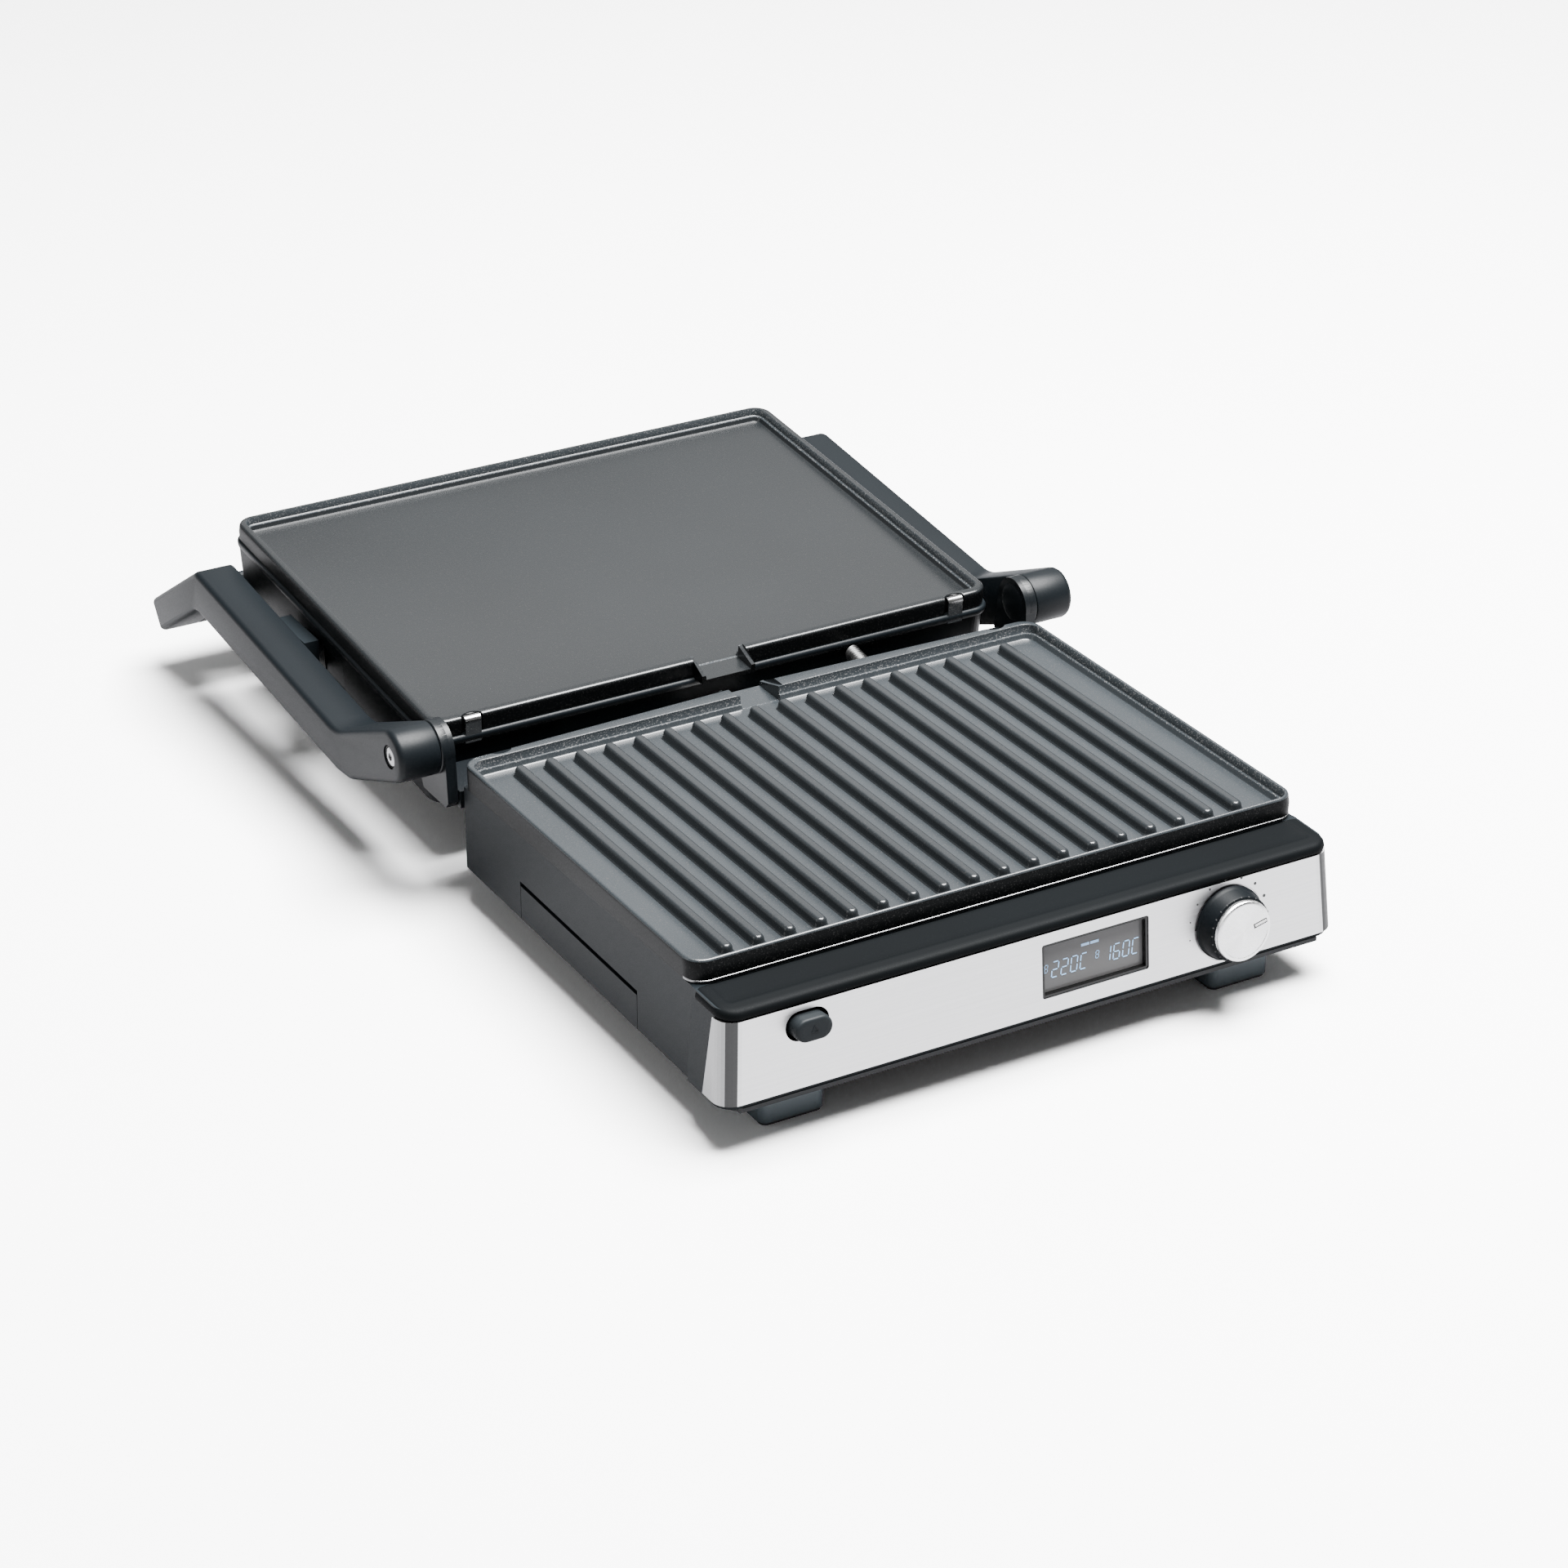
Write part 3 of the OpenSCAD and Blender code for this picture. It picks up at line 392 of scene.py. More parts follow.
def moved(part, matrix):
    """A part with its points through a matrix, in mm."""
    m = Matrix(matrix)
    return ([tuple(m @ Vector(v)) for v in part[0]],) + tuple(part[1:])


def shift(x, y, z):
    return Matrix.Translation((x, y, z))


def corner_pts(pts, steps=8):
    """Turns (y, z, radius) corners into a rounded outline."""
    out = []
    n = len(pts)
    for k in range(n):
        a, b, c = (Vector(pts[(k + d) % n][:2]) for d in (-1, 0, 1))
        r = pts[k][2]
        if r == 0:
            out.append((b.x, b.y))
            continue
        u, w = (a - b).normalized(), (c - b).normalized()
        half = math.acos(max(-1, min(1, u.dot(w)))) / 2
        o = b + (u + w).normalized() * (r / math.sin(half))
        p = b + u * (r / math.tan(half)) - o
        q = b + w * (r / math.tan(half)) - o
        sweep = math.pi - 2 * half
        sign = 1 if p.x * q.y - p.y * q.x > 0 else -1
        for i in range(steps + 1):
            t = sign * sweep * i / steps
            out.append((o.x + p.x * math.cos(t) - p.y * math.sin(t),
                        o.y + p.x * math.sin(t) + p.y * math.cos(t)))
    return out


def inset(poly, d):
    """Moves a closed outline inward by d along its corner normals."""
    n = len(poly)
    area = sum(poly[i][0] * poly[(i + 1) % n][1] - poly[(i + 1) % n][0] * poly[i][1] for i in range(n))
    s = 1 if area > 0 else -1
    out = []
    for i in range(n):
        a, b, c = (Vector(poly[(i + k) % n]) for k in (-1, 0, 1))
        e1, e2 = (b - a).normalized(), (c - b).normalized()
        n1, n2 = Vector((-e1.y, e1.x)), Vector((-e2.y, e2.x))
        m = n1 + n2
        m = m / max(0.35, m.dot(n1)) if m.length > 1e-6 else n1
        out.append((b.x + s * d * m.x, b.y + s * d * m.y))
    return out


def extrude_x(poly, levels):
    """Lofts an outline of (y, z) along X over (x, inset) levels."""
    return loft([[(x, p[0], p[1]) for p in inset(poly, d)] for x, d in levels])


# ---------- plates ----------
ROUND = [(0.0, -1.6), (0.15, -0.9), (0.55, -0.3), (1.15, 0.0)]    # (inset, z) of the rounded top edge
NOTCH = 5.3            # half width of the notch round a clip
NOTCH_DEPTH = 3.4
TIP = 8.5              # reach of the spout past the near edge
FAR_STRIP = 14         # the bare strip runs this far in from the far edge
# Material numbers on a plate's faces, and the rows of its loft that take them; the rim's inner walls and
# ledges take a lighter copy of the enamel, painted light
COAT, BARE, SIDE, RIM, RIB_COAT = range(5)
BARE_ROWS, SIDE_ROWS, RIM_ROWS = range(4, 6), range(3, 10), range(13, 18)


def plate(hw, depth, r, side, far, near, ledge, floor, floor_t, skirt, bulge, spout, sdir, clip):
    """A cast plate as concentric loops; u runs away from the hinge, sdir gives its direction in y."""
    # Points across the near edge: finer at the spout's sides and round the clip's notch
    marks = [0, 4, 8, spout - 2.2, spout - 1.9, spout - 0.5, spout, spout + 0.08, spout + 2, 30, 60, 90, 115]
    marks += [clip + NOTCH * k for k in
              (-1.0, -0.98, -0.9, -0.75, -0.5, -0.25, 0, 0.25, 0.5, 0.75, 0.9, 0.98, 1.0)]
    xs = sorted([-m for m in marks if m > 0] + marks)

    def loop(i_s, i_f, i_n, z, outer, low=False):
        """One loop, inset from the sides, the far edge and the near edge; z is a number or z(u)."""
        rr = max(r - i_s, 2.2)
        w = hw - i_s
        u1 = depth - i_f
        pts = []
        for x in [-(w - rr)] + xs + [w - rr]:
            u = i_n
            zz = z(0) if callable(z) else z
            if outer:
                u -= bulge * max(0, 1 - abs(x) / (hw - r))
                k = (abs(x) - clip) / NOTCH
                if abs(k) < 1:
                    edge = -bulge * (1 - clip / (hw - r))
                    u = max(u, edge + NOTCH_DEPTH * math.sqrt(1 - k * k) + 0.25 * i_n)
                if abs(x) <= spout:
                    u = -bulge - TIP + i_n * (0.4 + 0.2 * abs(x) / spout)
            if abs(x) <= spout:
                if low:
                    zz = max(zz, -floor - floor_t)
                elif abs(x) <= spout - 2.0:
                    zz = min(zz, -floor)
                elif outer:
                    zz = min(zz, -floor + 2.2)
                else:
                    zz = min(zz, -0.5)
            pts.append((x, sdir * u, zz))
        for cx, cu, a0 in ((w - rr, i_n + rr, -90), (w - rr, u1 - rr, 0),
                           (-w + rr, u1 - rr, 90), (-w + rr, i_n + rr, 180)):
            for k in range(1 if a0 == -90 else 0, 9 if a0 != 180 else 8):
                a = math.radians(a0 + 90 * k / 8)
                u = cu + rr * math.sin(a)
                pts.append((cx + rr * math.cos(a), sdir * u, z(u) if callable(z) else z))
        if callable(z):
            pts = [(px, py, pz if low and abs(px) <= spout and abs(py) < 20 else z(abs(py)))
                   for px, py, pz in pts]
        return pts

    lo, hi = skirt

    def bottom(u):
        return -(lo + (hi - lo) * max(0, min(1, u / depth)))

    def above(rise):
        return lambda u: bottom(u) + rise

    # From the underside out to the skirt, up the outer wall, over the top edge and down to the floor
    loops = [
        loop(6.0, 6.0, 6.0, -floor - floor_t, False, True),
        loop(4.6, 4.6, 4.6, -floor - floor_t, False, True),
        loop(4.2, 4.2, 4.2, bottom, False, True),
        loop(0.5, 0.5, 0.5, bottom, True, True),
        loop(0.15, 0.15, 0.1, above(0.15), True, True),
        loop(0.1, 0.1, 0.1, above(1.0), True, True),
        loop(0.1, 0.35, 0.1, above(1.15), True, True),
        loop(0.0, 0.0, 0.0, -4.6, True),
        loop(0.0, 0.5, 0.0, -2.8, True),
    ]
    for i, z in ROUND:
        loops.append(loop(i * side / 2.6, 0.7 + i * (far - 1.0) / 1.5, i * 1.2, z, True))
    loops += [
        loop(side - 0.25, far - 0.15, near - 0.3, 0.0, False),
        loop(side, far, near, -0.3, False),
        loop(side + 0.2, far + 0.2, near + 0.2, -ledge + 0.25, False),
        loop(side + 0.45, far + 0.45, near + 0.4, -ledge, False),
        loop(side + 1.1, far + 1.1, near + 1.0, -ledge - 0.1, False),
        loop(side + 1.3, far + 1.3, near + 1.2, -ledge - 0.4, False),
        loop(side + 1.7, far + 1.7, near + 1.5, -floor + 0.8, False),
        loop(side + 2.1, far + 2.1, near + 2.0, -floor + 0.2, False),
        loop(side + 3.0, far + 3.0, near + 2.8, -floor, False),
    ]
    verts, faces = loft(loops)
    n = len(loops[0])
    index = []
    for f in faces:
        row = f[0] // n
        us = [sdir * verts[i][1] for i in f]
        if len(f) != 4:
            index.append(COAT)
        elif row in BARE_ROWS and min(us) > depth - FAR_STRIP:
            index.append(BARE)
        # Painted light: the rim's inner walls take the lighter enamel
        elif row in RIM_ROWS:
            index.append(RIM)
        elif row in SIDE_ROWS:
            index.append(SIDE)
        else:
            index.append(COAT)
    return verts, faces, index


def obround_loop(hw, y0, y1, z, n=10):
    """Loop with round ends, long in y."""
    pts = []
    for cy, a0 in ((y1 - hw, 0), (y0 + hw, 180)):
        for i in range(n + 1):
            a = math.radians(a0 + 180 * i / n)
            pts.append((hw * math.cos(a), cy + hw * math.sin(a), z))
    return pts


LOWER_CLIP_X, UPPER_CLIP_X = 130, 128
RIBS, RIB_PITCH = 18, 14.93
RIB_HALF, RIB_FAR, RIB_NEAR = 3.1, -205.3, -11.2
RIB = [(-0.7, -7.3), (-0.6, -7.12), (-0.2, -6.85), (0.05, -6.3), (0.25, -5.2), (0.45, -4.3),
       (0.65, -3.8), (0.95, -3.35), (1.35, -3.0), (1.8, -2.84), (2.3, -2.8)]    # (inset, z) up a rib
parts = [plate(hw=150, depth=216.5, r=9, side=2.3, far=2.2, near=4.7, ledge=4.4, floor=7.2, floor_t=2.6,
               skirt=(12.1, 10.3), bulge=4.5, spout=12, sdir=-1, clip=LOWER_CLIP_X)]
for k in range(RIBS):
    x = (k - (RIBS - 1) / 2) * RIB_PITCH
    rib = loft([[(x + px, py, pz) for px, py, pz in obround_loop(RIB_HALF - d, RIB_FAR + d, RIB_NEAR - d, z)]
                for d, z in RIB])
    # Ribs take the darker enamel, painted shade
    parts.append((*rib, [RIB_COAT] * len(rib[1])))
piece("grill_plate_cast", parts, ["grill_coating", "bare_edge", "side_enamel", "rim_enamel_painted_light", "rib_enamel_painted_shade"],
      "grill", GRILL, ["grill_plate"], angle=38)
# The griddle has no bare strip, so its second material is the side's
parts = [plate(hw=148.3, depth=225, r=9, side=3.6, far=3.6, near=4.6, ledge=3.9, floor=6.3, floor_t=2.0,
               skirt=(8.8, 8.8), bulge=0.0, spout=14, sdir=1, clip=UPPER_CLIP_X)]
piece("griddle_plate_cast", parts, ["griddle_coating", "side_enamel", "side_enamel", "rim_enamel_painted_light"],
      "griddle", GRIDDLE, ["griddle_plate"], angle=38)

# ---------- base ----------
# Shelf in front of the grill plate: (inset, z) over the rounded lip, the ridge line and the shallow dish
SHELF_LEVELS = [(0.9, 60.7), (0.25, 61.2), (0.0, 62.0), (0.1, 62.9), (0.5, 63.9), (1.3, 64.7), (2.5, 65.15),
                (4.0, 65.3), (6.6, 65.42), (7.6, 65.5), (8.2, 65.3), (9.2, 65.12), (12.5, 65.0),
                (18.0, 64.98)]
SHELF_HALF, SHELF_FRONT, SHELF_BACK = 150.2, -258.9, -233.9
loops = [rrect(SHELF_HALF - 0.8 * i, SHELF_FRONT + i, SHELF_BACK + min(i, 2) * 0.2, (max(9 - i, 2.5), 0.8), z)
         for i, z in SHELF_LEVELS]
piece("shelf_top", [loft(loops)], "deck_grey", "base", BASE)

# ---------- knob ----------
# Drawn round +Z, which points out of the panel's face
KN = PANEL @ Matrix.Translation((95.7 * MM, 0, -19.2 * MM)) @ turn(90)
skirt_profile = [(0, 0.35), (16.6, 0.35), (16.9, 0.6), (16.9, 1.3), (16.4, 1.8), (15.9, 3.0), (15.1, 8.6),
                 (14.8, 9.3), (14.2, 9.6), (0, 9.6)]
piece("knob_body", [lathe(skirt_profile)], "knob_black", "knob", KN, ["knob_skirt"])
CAP_TOP = 12.05
GROOVES, GROOVE_PITCH, GROOVE_DEPTH = 14, 0.78, 0.02
cap_profile = [(0, 9.6), (13.6, 9.6), (13.9, 9.9), (13.9, 11.2), (13.5, 11.9), (12.5, 12.35), (12.1, 12.3),
               (11.9, 12.1), (11.4, CAP_TOP)]
for k in range(GROOVES, 0, -1):
    cap_profile += [(k * GROOVE_PITCH + 0.35, CAP_TOP), (k * GROOVE_PITCH + 0.1, CAP_TOP - GROOVE_DEPTH)]
cap_profile.append((0, CAP_TOP))
piece("knob_face", [lathe(cap_profile, 96)], "knob_cap", "knob", KN, ["knob_cap"])


def bar(x0, x1, y0, y1, z0, z1, r=0.2):
    """Small block with rounded outline and softened top."""
    c = ((x0 + x1) / 2, (y0 + y1) / 2)
    hx, hy = (x1 - x0) / 2, (y1 - y0) / 2
    out = []
    for i, z in ((0, z0), (0, z1 - r * 0.5), (r * 0.5, z1)):
        lp = rrect(hx - i, -hy + i, hy - i, max(min(r, hx - i, hy - i) * 0.9, 0.02), z, 3)
        out.append([(p[0] + c[0], p[1] + c[1], p[2]) for p in lp])
    return loft(out)


def spin(part, deg):
    """A part turned round +Z."""
    return moved(part, Matrix.Rotation(math.radians(deg), 4, "Z"))


KNOB_SET = 13          # angle of the pointer at rest, degrees
TICKS = 24
seat = spin(bar(5.0, 12.3, -1.15, 1.15, 11.9, 12.14), KNOB_SET)
piece("knob_pointer_seat", [seat], "mark_black", "knob", KN)
pointer = spin(bar(5.6, 11.6, -0.5, 0.5, 12.0, 12.3), KNOB_SET)
piece("knob_pointer", [pointer], "mark_white", "knob", KN)
ticks = [spin(bar(14.4, 15.0, -0.25, 0.25, 8.8, 9.45), KNOB_SET + 360 / TICKS * k) for k in range(TICKS)]
piece("knob_grip_marks", ticks, "mark_black", "knob", KN)
# Scale round the knob: dots that grow along the travel
DOTS, DOT_STEP, DOT_RING = 9, 24, 20.2
dots = []
for k in range(DOTS):
    a = math.radians(190 - DOT_STEP * k)
    rad = 0.35 + 0.06 * k
    dots.append(moved(lathe([(0, -0.4), (rad, -0.4), (rad, 0.06), (rad * 0.8, 0.1), (0, 0.1)], 20),
                      shift(DOT_RING * math.cos(a), DOT_RING * math.sin(a), 0)))
piece("panel_scale", dots, "mark_black", "base", KN)

# ---------- display ----------
SEG = {"0": "abcdef", "1": "bc", "2": "abged", "6": "afgedc", "8": "abcdefg", "C": "afed"}
FIGURE_Y = (2.86, 2.99)     # front and back of the figures, in the panel's frame
LEAN = 0.13                 # sideways lean of the figures per height
BOX_FACES = [[3, 2, 1, 0], [4, 5, 6, 7], [0, 1, 5, 4], [1, 2, 6, 5], [2, 3, 7, 6], [3, 0, 4, 7]]


def digit(ch, x, z, h, w):
    """Seven-segment figure in the panel's x, z plane, at the window's depth."""
    t = h * 0.064
    half = h / 2
    # Start x and z, end x or height, and 1 if the segment is upright
    places = {"a": (x, z + h, x + w, 0), "g": (x, z + half, x + w, 0), "d": (x, z, x + w, 0),
              "f": (x, z + half, h, 1), "e": (x, z, h, 1),
              "b": (x + w, z + half, h, 1), "c": (x + w, z, h, 1)}
    out = []
    for s in SEG[ch]:
        p = places[s]
        if p[3] == 0:
            x0, x1, z0, z1 = p[0] + t * 0.7, p[2] - t * 0.7, p[1] - t / 2, p[1] + t / 2
        else:
            x0, x1, z0, z1 = p[0] - t / 2, p[0] + t / 2, p[1] + t * 0.7, p[1] + half - t * 0.7
        v = []
        for y in FIGURE_Y:
            if p[3] == 0:
                m = (z0 + z1) / 2
                v += [(x0, y, m), (x0 + t / 2, y, z0), (x1 - t / 2, y, z0),
                      (x1, y, m), (x1 - t / 2, y, z1), (x0 + t / 2, y, z1)]
            else:
                m = (x0 + x1) / 2
                v += [(m, y, z0), (x1, y, z0 + t / 2), (x1, y, z1 - t / 2),
                      (m, y, z1), (x0, y, z1 - t / 2), (x0, y, z0 + t / 2)]
        v = [(px + LEAN * (pz - z), py, pz) for px, py, pz in v]
        f = [list(range(6))[::-1], list(range(6, 12))]
        f += [[i, (i + 1) % 6, 6 + (i + 1) % 6, 6 + i] for i in range(6)]
        out.append((v, f))
    return out


def flat_bar(x0, x1, z0, z1):
    """Plain lit bar above the figures."""
    v = [(x, y, z) for y in (2.9, 2.99) for x, z in ((x0, z0), (x1, z0), (x1, z1), (x0, z1))]
    return v, BOX_FACES


big, small = [], []
for text, x in (("220C", 7.4), ("160C", 33.6)):
    for k, ch in enumerate(text):
        big += digit(ch, x + 4.75 * k, -22.6, 7.0, 3.1)
for x in (3.9, 29.6):
    small += digit("8", x, -19.6, 3.4, 1.5)
for x0, x1 in ((22.6, 26.6), (27.2, 31.4)):
    small.append(flat_bar(x0, x1, -12.2, -11.0))
piece("display_figures", big, "digits", "base", PANEL)
piece("display_small_figures", small, "digits_dim", "base", PANEL)

# ---------- release button ----------
BT = PANEL @ Matrix.Translation((-111.8 * MM, 0, -9.3 * MM)) @ turn(90)


def obr(w, h, z, n=12):
    """Loop with round ends, long in x."""
    pts = []
    for cx, a0 in (((w - h) / 2, -90), (-(w - h) / 2, 90)):
        for i in range(n + 1):
            a = math.radians(a0 + 180 * i / n)
            pts.append((cx + h / 2 * math.cos(a), h / 2 * math.sin(a), z))
    return pts


btn = loft([obr(17.2 - 2 * i, 10.4 - 2 * i, z) for i, z in
            ((0, -4.4), (0, 5.1), (0.15, 5.7), (0.5, 6.15), (1.1, 6.4), (3.2, 6.3))])
# Raised triangle on the button, in three strokes
tri = []
for k in range(3):
    a0, a1 = math.radians(90 + 120 * k), math.radians(210 + 120 * k)
    p0, p1 = (Vector((2.1 * math.cos(a), 2.1 * math.sin(a))) for a in (a0, a1))
    q0, q1 = p0 * 0.72, p1 * 0.72
    base = [(p0.x, p0.y), (p1.x, p1.y), (q1.x, q1.y), (q0.x, q0.y)]
    v = [(x, y, z) for z in (6.2, 6.5) for x, y in base]
    tri.append((v, BOX_FACES))
tail = bar(1, 5, -3, 3, -11.0, -4.3)
piece("button_cap", [btn, tail] + tri, "button_grey", "release", BT, ["release_button"])

# ---------- arms ----------
# Arm outline seen from the side: (y, z, corner radius), then an arc round the hub
HUB_R = 12.4
ARM = [(5, 84.6, 0), (59.9, 59.9, 30), (223.5, 74.8, 9), (285.6, 35.2, 3), (275.6, 21, 3), (225.5, 53.2, 12),
       (61, 39.4, 22), (47, 40.6, 12), (-4.6, 62.3, 0)]
arm = corner_pts(ARM)
a0 = math.degrees(math.atan2(ARM[-1][1] - HUB_Z, ARM[-1][0]))
a1 = math.degrees(math.atan2(ARM[0][1] - HUB_Z, ARM[0][0]))
arc = []
for i in range(15):
    a = math.radians(a0 - (360 + a0 - a1) * i / 14)
    arc.append((HUB_R * math.cos(a), HUB_Z + HUB_R * math.sin(a)))
outline = arm[1:-1] + arc
# (x, inset) from the inner face to the rounded outer face
LEVELS = [(156.8, 0.9), (157.1, 0.3), (157.8, 0.0), (174.2, 0.0), (175.3, 0.3), (176.2, 0.9), (176.75, 1.7),
          (177.0, 2.6)]
for side, mirror in (("right", False), ("left", True)):
    ob = piece("arm_shell_" + side, [extrude_x(outline, LEVELS)], "arm_grey", "handle", BASE,
               ["arm_" + side], mirror=mirror)
    # Round recess for the hub's screw
    cut = bpy.data.objects.new("cut", bpy.data.meshes.new("cut"))
    bm = bmesh.new()
    bmesh.ops.create_cone(bm, cap_ends=True, segments=48, radius1=5.6 * MM, radius2=5.6 * MM, depth=10 * MM)
    bm.to_mesh(cut.data)
    bm.free()
    outer = Vector((-0.177 if mirror else 0.177, 0, 0))
    cut.data.transform(Matrix.Translation(HUB + outer) @ turn(90, "Y"))
    bpy.context.scene.collection.objects.link(cut)
    mod = ob.modifiers.new("recess", "BOOLEAN")
    mod.object = cut
    mod.operation = "DIFFERENCE"
    mod.solver = "EXACT"
    bpy.context.view_layer.update()
    ev = ob.evaluated_get(bpy.context.evaluated_depsgraph_get())
    new = bpy.data.meshes.new_from_object(ev)
    ob.modifiers.clear()
    ob.data = new
    bpy.data.objects.remove(cut)
# Screw in each hub: countersunk head with a hexagonal socket, and a dark seat ring
HEX_R = 2.0
for side, sx in (("right", 1), ("left", -1)):
    prof = [(0, -0.9), (HEX_R, -0.9), (HEX_R, 0.0), (2.5, 0.1), (3.9, 0.0), (4.5, -0.4), (4.6, -1.4),
            (0, -3.2)]
    hexed = []
    n = 72
    for r, h in prof:
        lp = []
        for i in range(n):
            a = 2 * math.pi * i / n
            rr = r
            if h in (-0.9, 0.0) and 0 < r <= HEX_R:
                rr = HEX_R * math.cos(math.pi / 6) / math.cos((a % (math.pi / 3)) - math.pi / 6)
            lp.append((rr * math.cos(a), rr * math.sin(a), h))
        hexed.append(lp)
    mat4 = Matrix.Translation(HUB + Vector((sx * 0.1765, 0, 0))) @ turn(90 * sx, "Y")
    piece("hub_screw_" + side, [loft(hexed)], "chrome_small", "base", mat4,
          ["hub_screws"] if sx > 0 else ())
    ringp = [(4.75, -4.0), (5.5, -4.0), (5.5, -0.35), (5.1, -0.2), (4.75, -0.5)]
    ring = loft(turned(ringp, 64), ring=True)
    piece("hub_ring_" + side, [ring], "frame_black", "base", mat4)

# ---------- hinge collars ----------
for side, sx in (("right", 1), ("left", -1)):
    prof = [(0, -7.2), (4, -7.15), (7.5, -6.95), (10.2, -6.4), (11.8, -5.5), (12.4, -4.2), (12.4, -0.5),
            (12.0, -0.1), (0, -0.1)]
    mat4 = Matrix.Translation(HUB + Vector((sx * 0.1568, 0, 0))) @ turn(90 * sx, "Y")
    piece("hinge_collar_" + side, [lathe(prof)], "hinge_grey", "base", mat4)
soften(nodes["hinge_brackets"], 0.8, 2, 50)

# ---------- lid ----------
# Rounded lip round the griddle: (inset, z) of its section
LIP = ((1.4, -12.6), (0.0, -12.4), (-0.25, -11.6), (-0.4, -10.4), (-0.35, -9.6), (-0.05, -8.95), (0.45, -8.6),
       (1.1, -8.75))
loops = [rrect(148.7 - i, -1.3 + 1.4 * i, 225.2 - i, max(9 - i, 2), z, 10) for i, z in LIP]
piece("lid_edge", [loft(loops, ring=True)], "lip_grey", "lid", GRIDDLE)

# ---------- clips ----------
CLIP_HALF = 4.1
ROLL_R = 1.8


def clip_part(sgn):
    """Bright spring strap, rolled over at its top, with softened edges."""
    path = [(1.5, -13.0), (1.5, -7.0), (1.45, -3.4)]
    path += [(-0.35 + ROLL_R * math.cos(math.radians(a)), -2.2 + ROLL_R * math.sin(math.radians(a)))
             for a in range(0, 151, 15)]
    loops = []
    for k, (y, z) in enumerate(path):
        a = Vector(path[max(k - 1, 0)])
        b = Vector(path[min(k + 1, len(path) - 1)])
        t = (b - a).normalized()
        nrm = Vector((t.y, -t.x))
        w = CLIP_HALF if k < len(path) - 3 else CLIP_HALF - 0.5 * (k - len(path) + 4)
        section = ((-w, 0.15), (-w + 0.25, 0.4), (w - 0.25, 0.4), (w, 0.15),
                   (w, -0.15), (w - 0.25, -0.4), (-w + 0.25, -0.4), (-w, -0.15))
        loops.append([(x, sgn * (y + nrm.x * d), z + nrm.y * d) for x, d in section])
    return loft(loops)


lower = [moved(clip_part(1), shift(x, 0, -4.5)) for x in (-LOWER_CLIP_X, LOWER_CLIP_X)]
piece("lower_clip_pair", lower, "chrome_small", "base", GRILL, ["lower_clips"])
upper = [moved(clip_part(-1), shift(x, 0.4, 0)) for x in (-UPPER_CLIP_X, UPPER_CLIP_X)]
piece("upper_clip_pair", upper, "chrome_small", "lid", GRIDDLE, ["griddle_clips"])

# ---------- button springs ----------
COIL_R, WIRE_R = 2.2, 0.32


def coil_spring(node, centre, fixed, free, matrix, body):
    """Wire spring of three turns along y, drawn from near its fixed end to near its free end."""
    cx, cz = centre
    loops = []
    for k in range(37):
        a = math.radians(30 * k)
        y = fixed + (free - fixed) * (0.08 + 0.84 * k / 36)
        lp = []
        for i in range(8):
            b = math.radians(45 * i)
            r = COIL_R + WIRE_R * math.cos(b)
            lp.append((cx + r * math.cos(a), y + WIRE_R * math.sin(b), cz + r * math.sin(a)))
        loops.append(lp)
    ob = piece(node + "_coil", [loft(loops)], "steel_small", body, matrix, [node], angle=60)
    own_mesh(ob)


coil_spring("button_spring", (-115.8, -9.3), 9.6, 4.6, PANEL, "base")
coil_spring("griddle_release_spring", (7, -24), 206, 212.4, GRIDDLE, "lid")

# ---------- conduit ----------
# Wound strip across the gap at the hinge, with a shallow helical ridge
CONDUIT_X, CONDUIT_Y, CONDUIT_Z = 70, -14.7, 55.5
CONDUIT_LENGTH, CONDUIT_RISE = 29.2, 9      # along y in mm, and upwards in degrees
CONDUIT_R, RIDGE = 3.72, 0.28
TURNS, STEPS_PER_TURN, ROUND_PTS = 19, 8, 24
steps = TURNS * STEPS_PER_TURN
loops = []
for k in range(steps + 1):
    t = k / steps
    y = CONDUIT_Y + CONDUIT_LENGTH * t
    z = CONDUIT_Z + CONDUIT_LENGTH * t * math.tan(math.radians(CONDUIT_RISE))
    lp = []
    for i in range(ROUND_PTS):
        a = 2 * math.pi * i / ROUND_PTS
        r = CONDUIT_R + RIDGE * math.cos(2 * math.pi * (k / STEPS_PER_TURN + i / ROUND_PTS))
        lp.append((CONDUIT_X + r * math.cos(a), y, z + r * math.sin(a)))
    loops.append(lp)
cond = piece("wound_conduit", [loft(loops)], "conduit", None, BASE, ["cable_conduit"], angle=60)
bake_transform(cond)

# ---------- softened edges on carried-over parts ----------
for n, w in (("feet", 1.2), ("drip_tray", 0.5), ("hinge_housing", 1.0), ("pivot_block_left", 1.0),
             ("pivot_block_right", 1.0), ("bottom_cover", 0.5), ("display_bezel", 0.2), ("cord_gland", 0.6),
             ("griddle_release", 0.6)):
    soften(nodes[n], w)

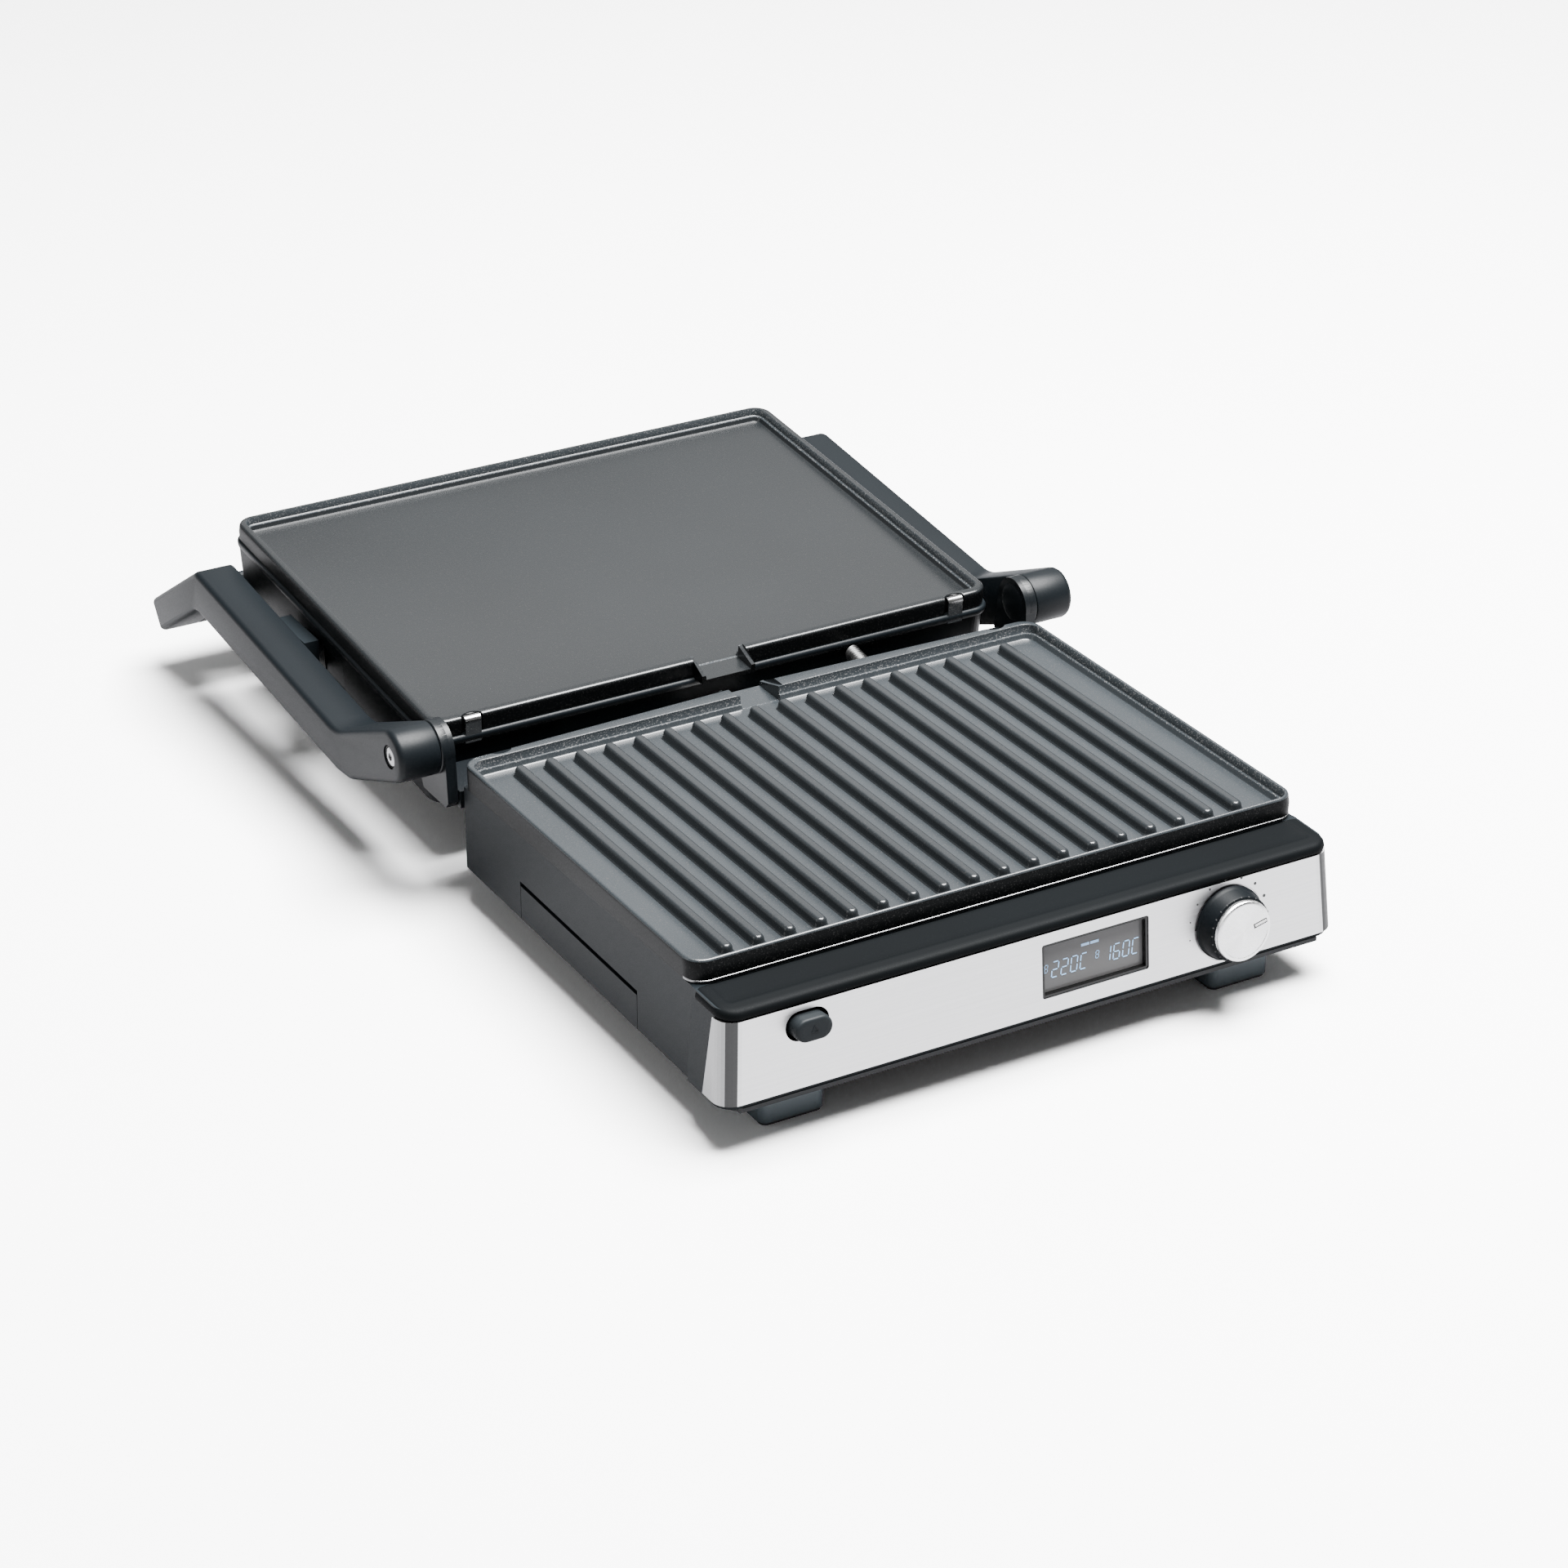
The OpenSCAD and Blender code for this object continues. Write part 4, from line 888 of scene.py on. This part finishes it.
# ---------- stage, light, camera ----------
# White paper to the camera; darker to all other rays, so that it lights the undersides less
floor_me = bpy.data.meshes.new("floor")
floor_me.from_pydata([(-6, -6, 0), (6, -6, 0), (6, 6, 0), (-6, 6, 0)], [], [[0, 1, 2, 3]])
floor = bpy.data.objects.new("floor", floor_me)
bpy.context.scene.collection.objects.link(floor)
fm = Mat("floor_paper", Roughness=0.9, Specular_IOR_Level=0.2)
paper = fm.ramp(fm.noise(3.0), [(0.3, grey(0.93)), (0.7, grey(0.95))])
seen = fm.t.nodes.new("ShaderNodeLightPath").outputs["Is Camera Ray"]
fm.link(fm.mix(seen, (0.30, 0.30, 0.31, 1), paper), "Base Color")
floor_me.materials.append(fm.m)

world = bpy.context.scene.world or bpy.data.worlds.new("world")
bpy.context.scene.world = world
world.use_nodes = True
bg = world.node_tree.nodes.get("Background") or world.node_tree.nodes.new("ShaderNodeBackground")
bg.inputs["Color"].default_value = (1, 1, 1, 1)
bg.inputs["Strength"].default_value = 0.28


def area(name, loc, target, size, power):
    """Rectangular light at loc, facing target; size in metres, power in watts."""
    li = bpy.data.lights.new(name, "AREA")
    li.shape = "RECTANGLE"
    li.size, li.size_y = size
    li.energy = power
    ob = bpy.data.objects.new(name, li)
    ob.location = loc
    ob.rotation_euler = (Vector(target) - Vector(loc)).to_track_quat("-Z", "Y").to_euler()
    bpy.context.scene.collection.objects.link(ob)


area("overhead", (0.42, -0.18, 2.15), (0, 0, 0), (1.5, 1.5), 600)
area("back", (0.9, 2.4, 1.5), (0, 0, 0.05), (2.6, 1.2), 12)
area("left", (-2.0, 0.6, 1.0), (0, 0, 0.05), (1.2, 0.9), 7)

# Camera solved from the photo's view
cam = bpy.data.cameras.new("camera")
cam.lens = 97.71
cam.sensor_width = 36
cam_ob = bpy.data.objects.new("camera", cam)
cam_ob.location = (-0.8560, -1.55327, 0.9360)
look = Vector((-0.02444, -0.09167, 0.060)) - cam_ob.location
cam_ob.rotation_euler = look.to_track_quat("-Z", "Y").to_euler()
bpy.context.scene.collection.objects.link(cam_ob)
bpy.context.scene.camera = cam_ob
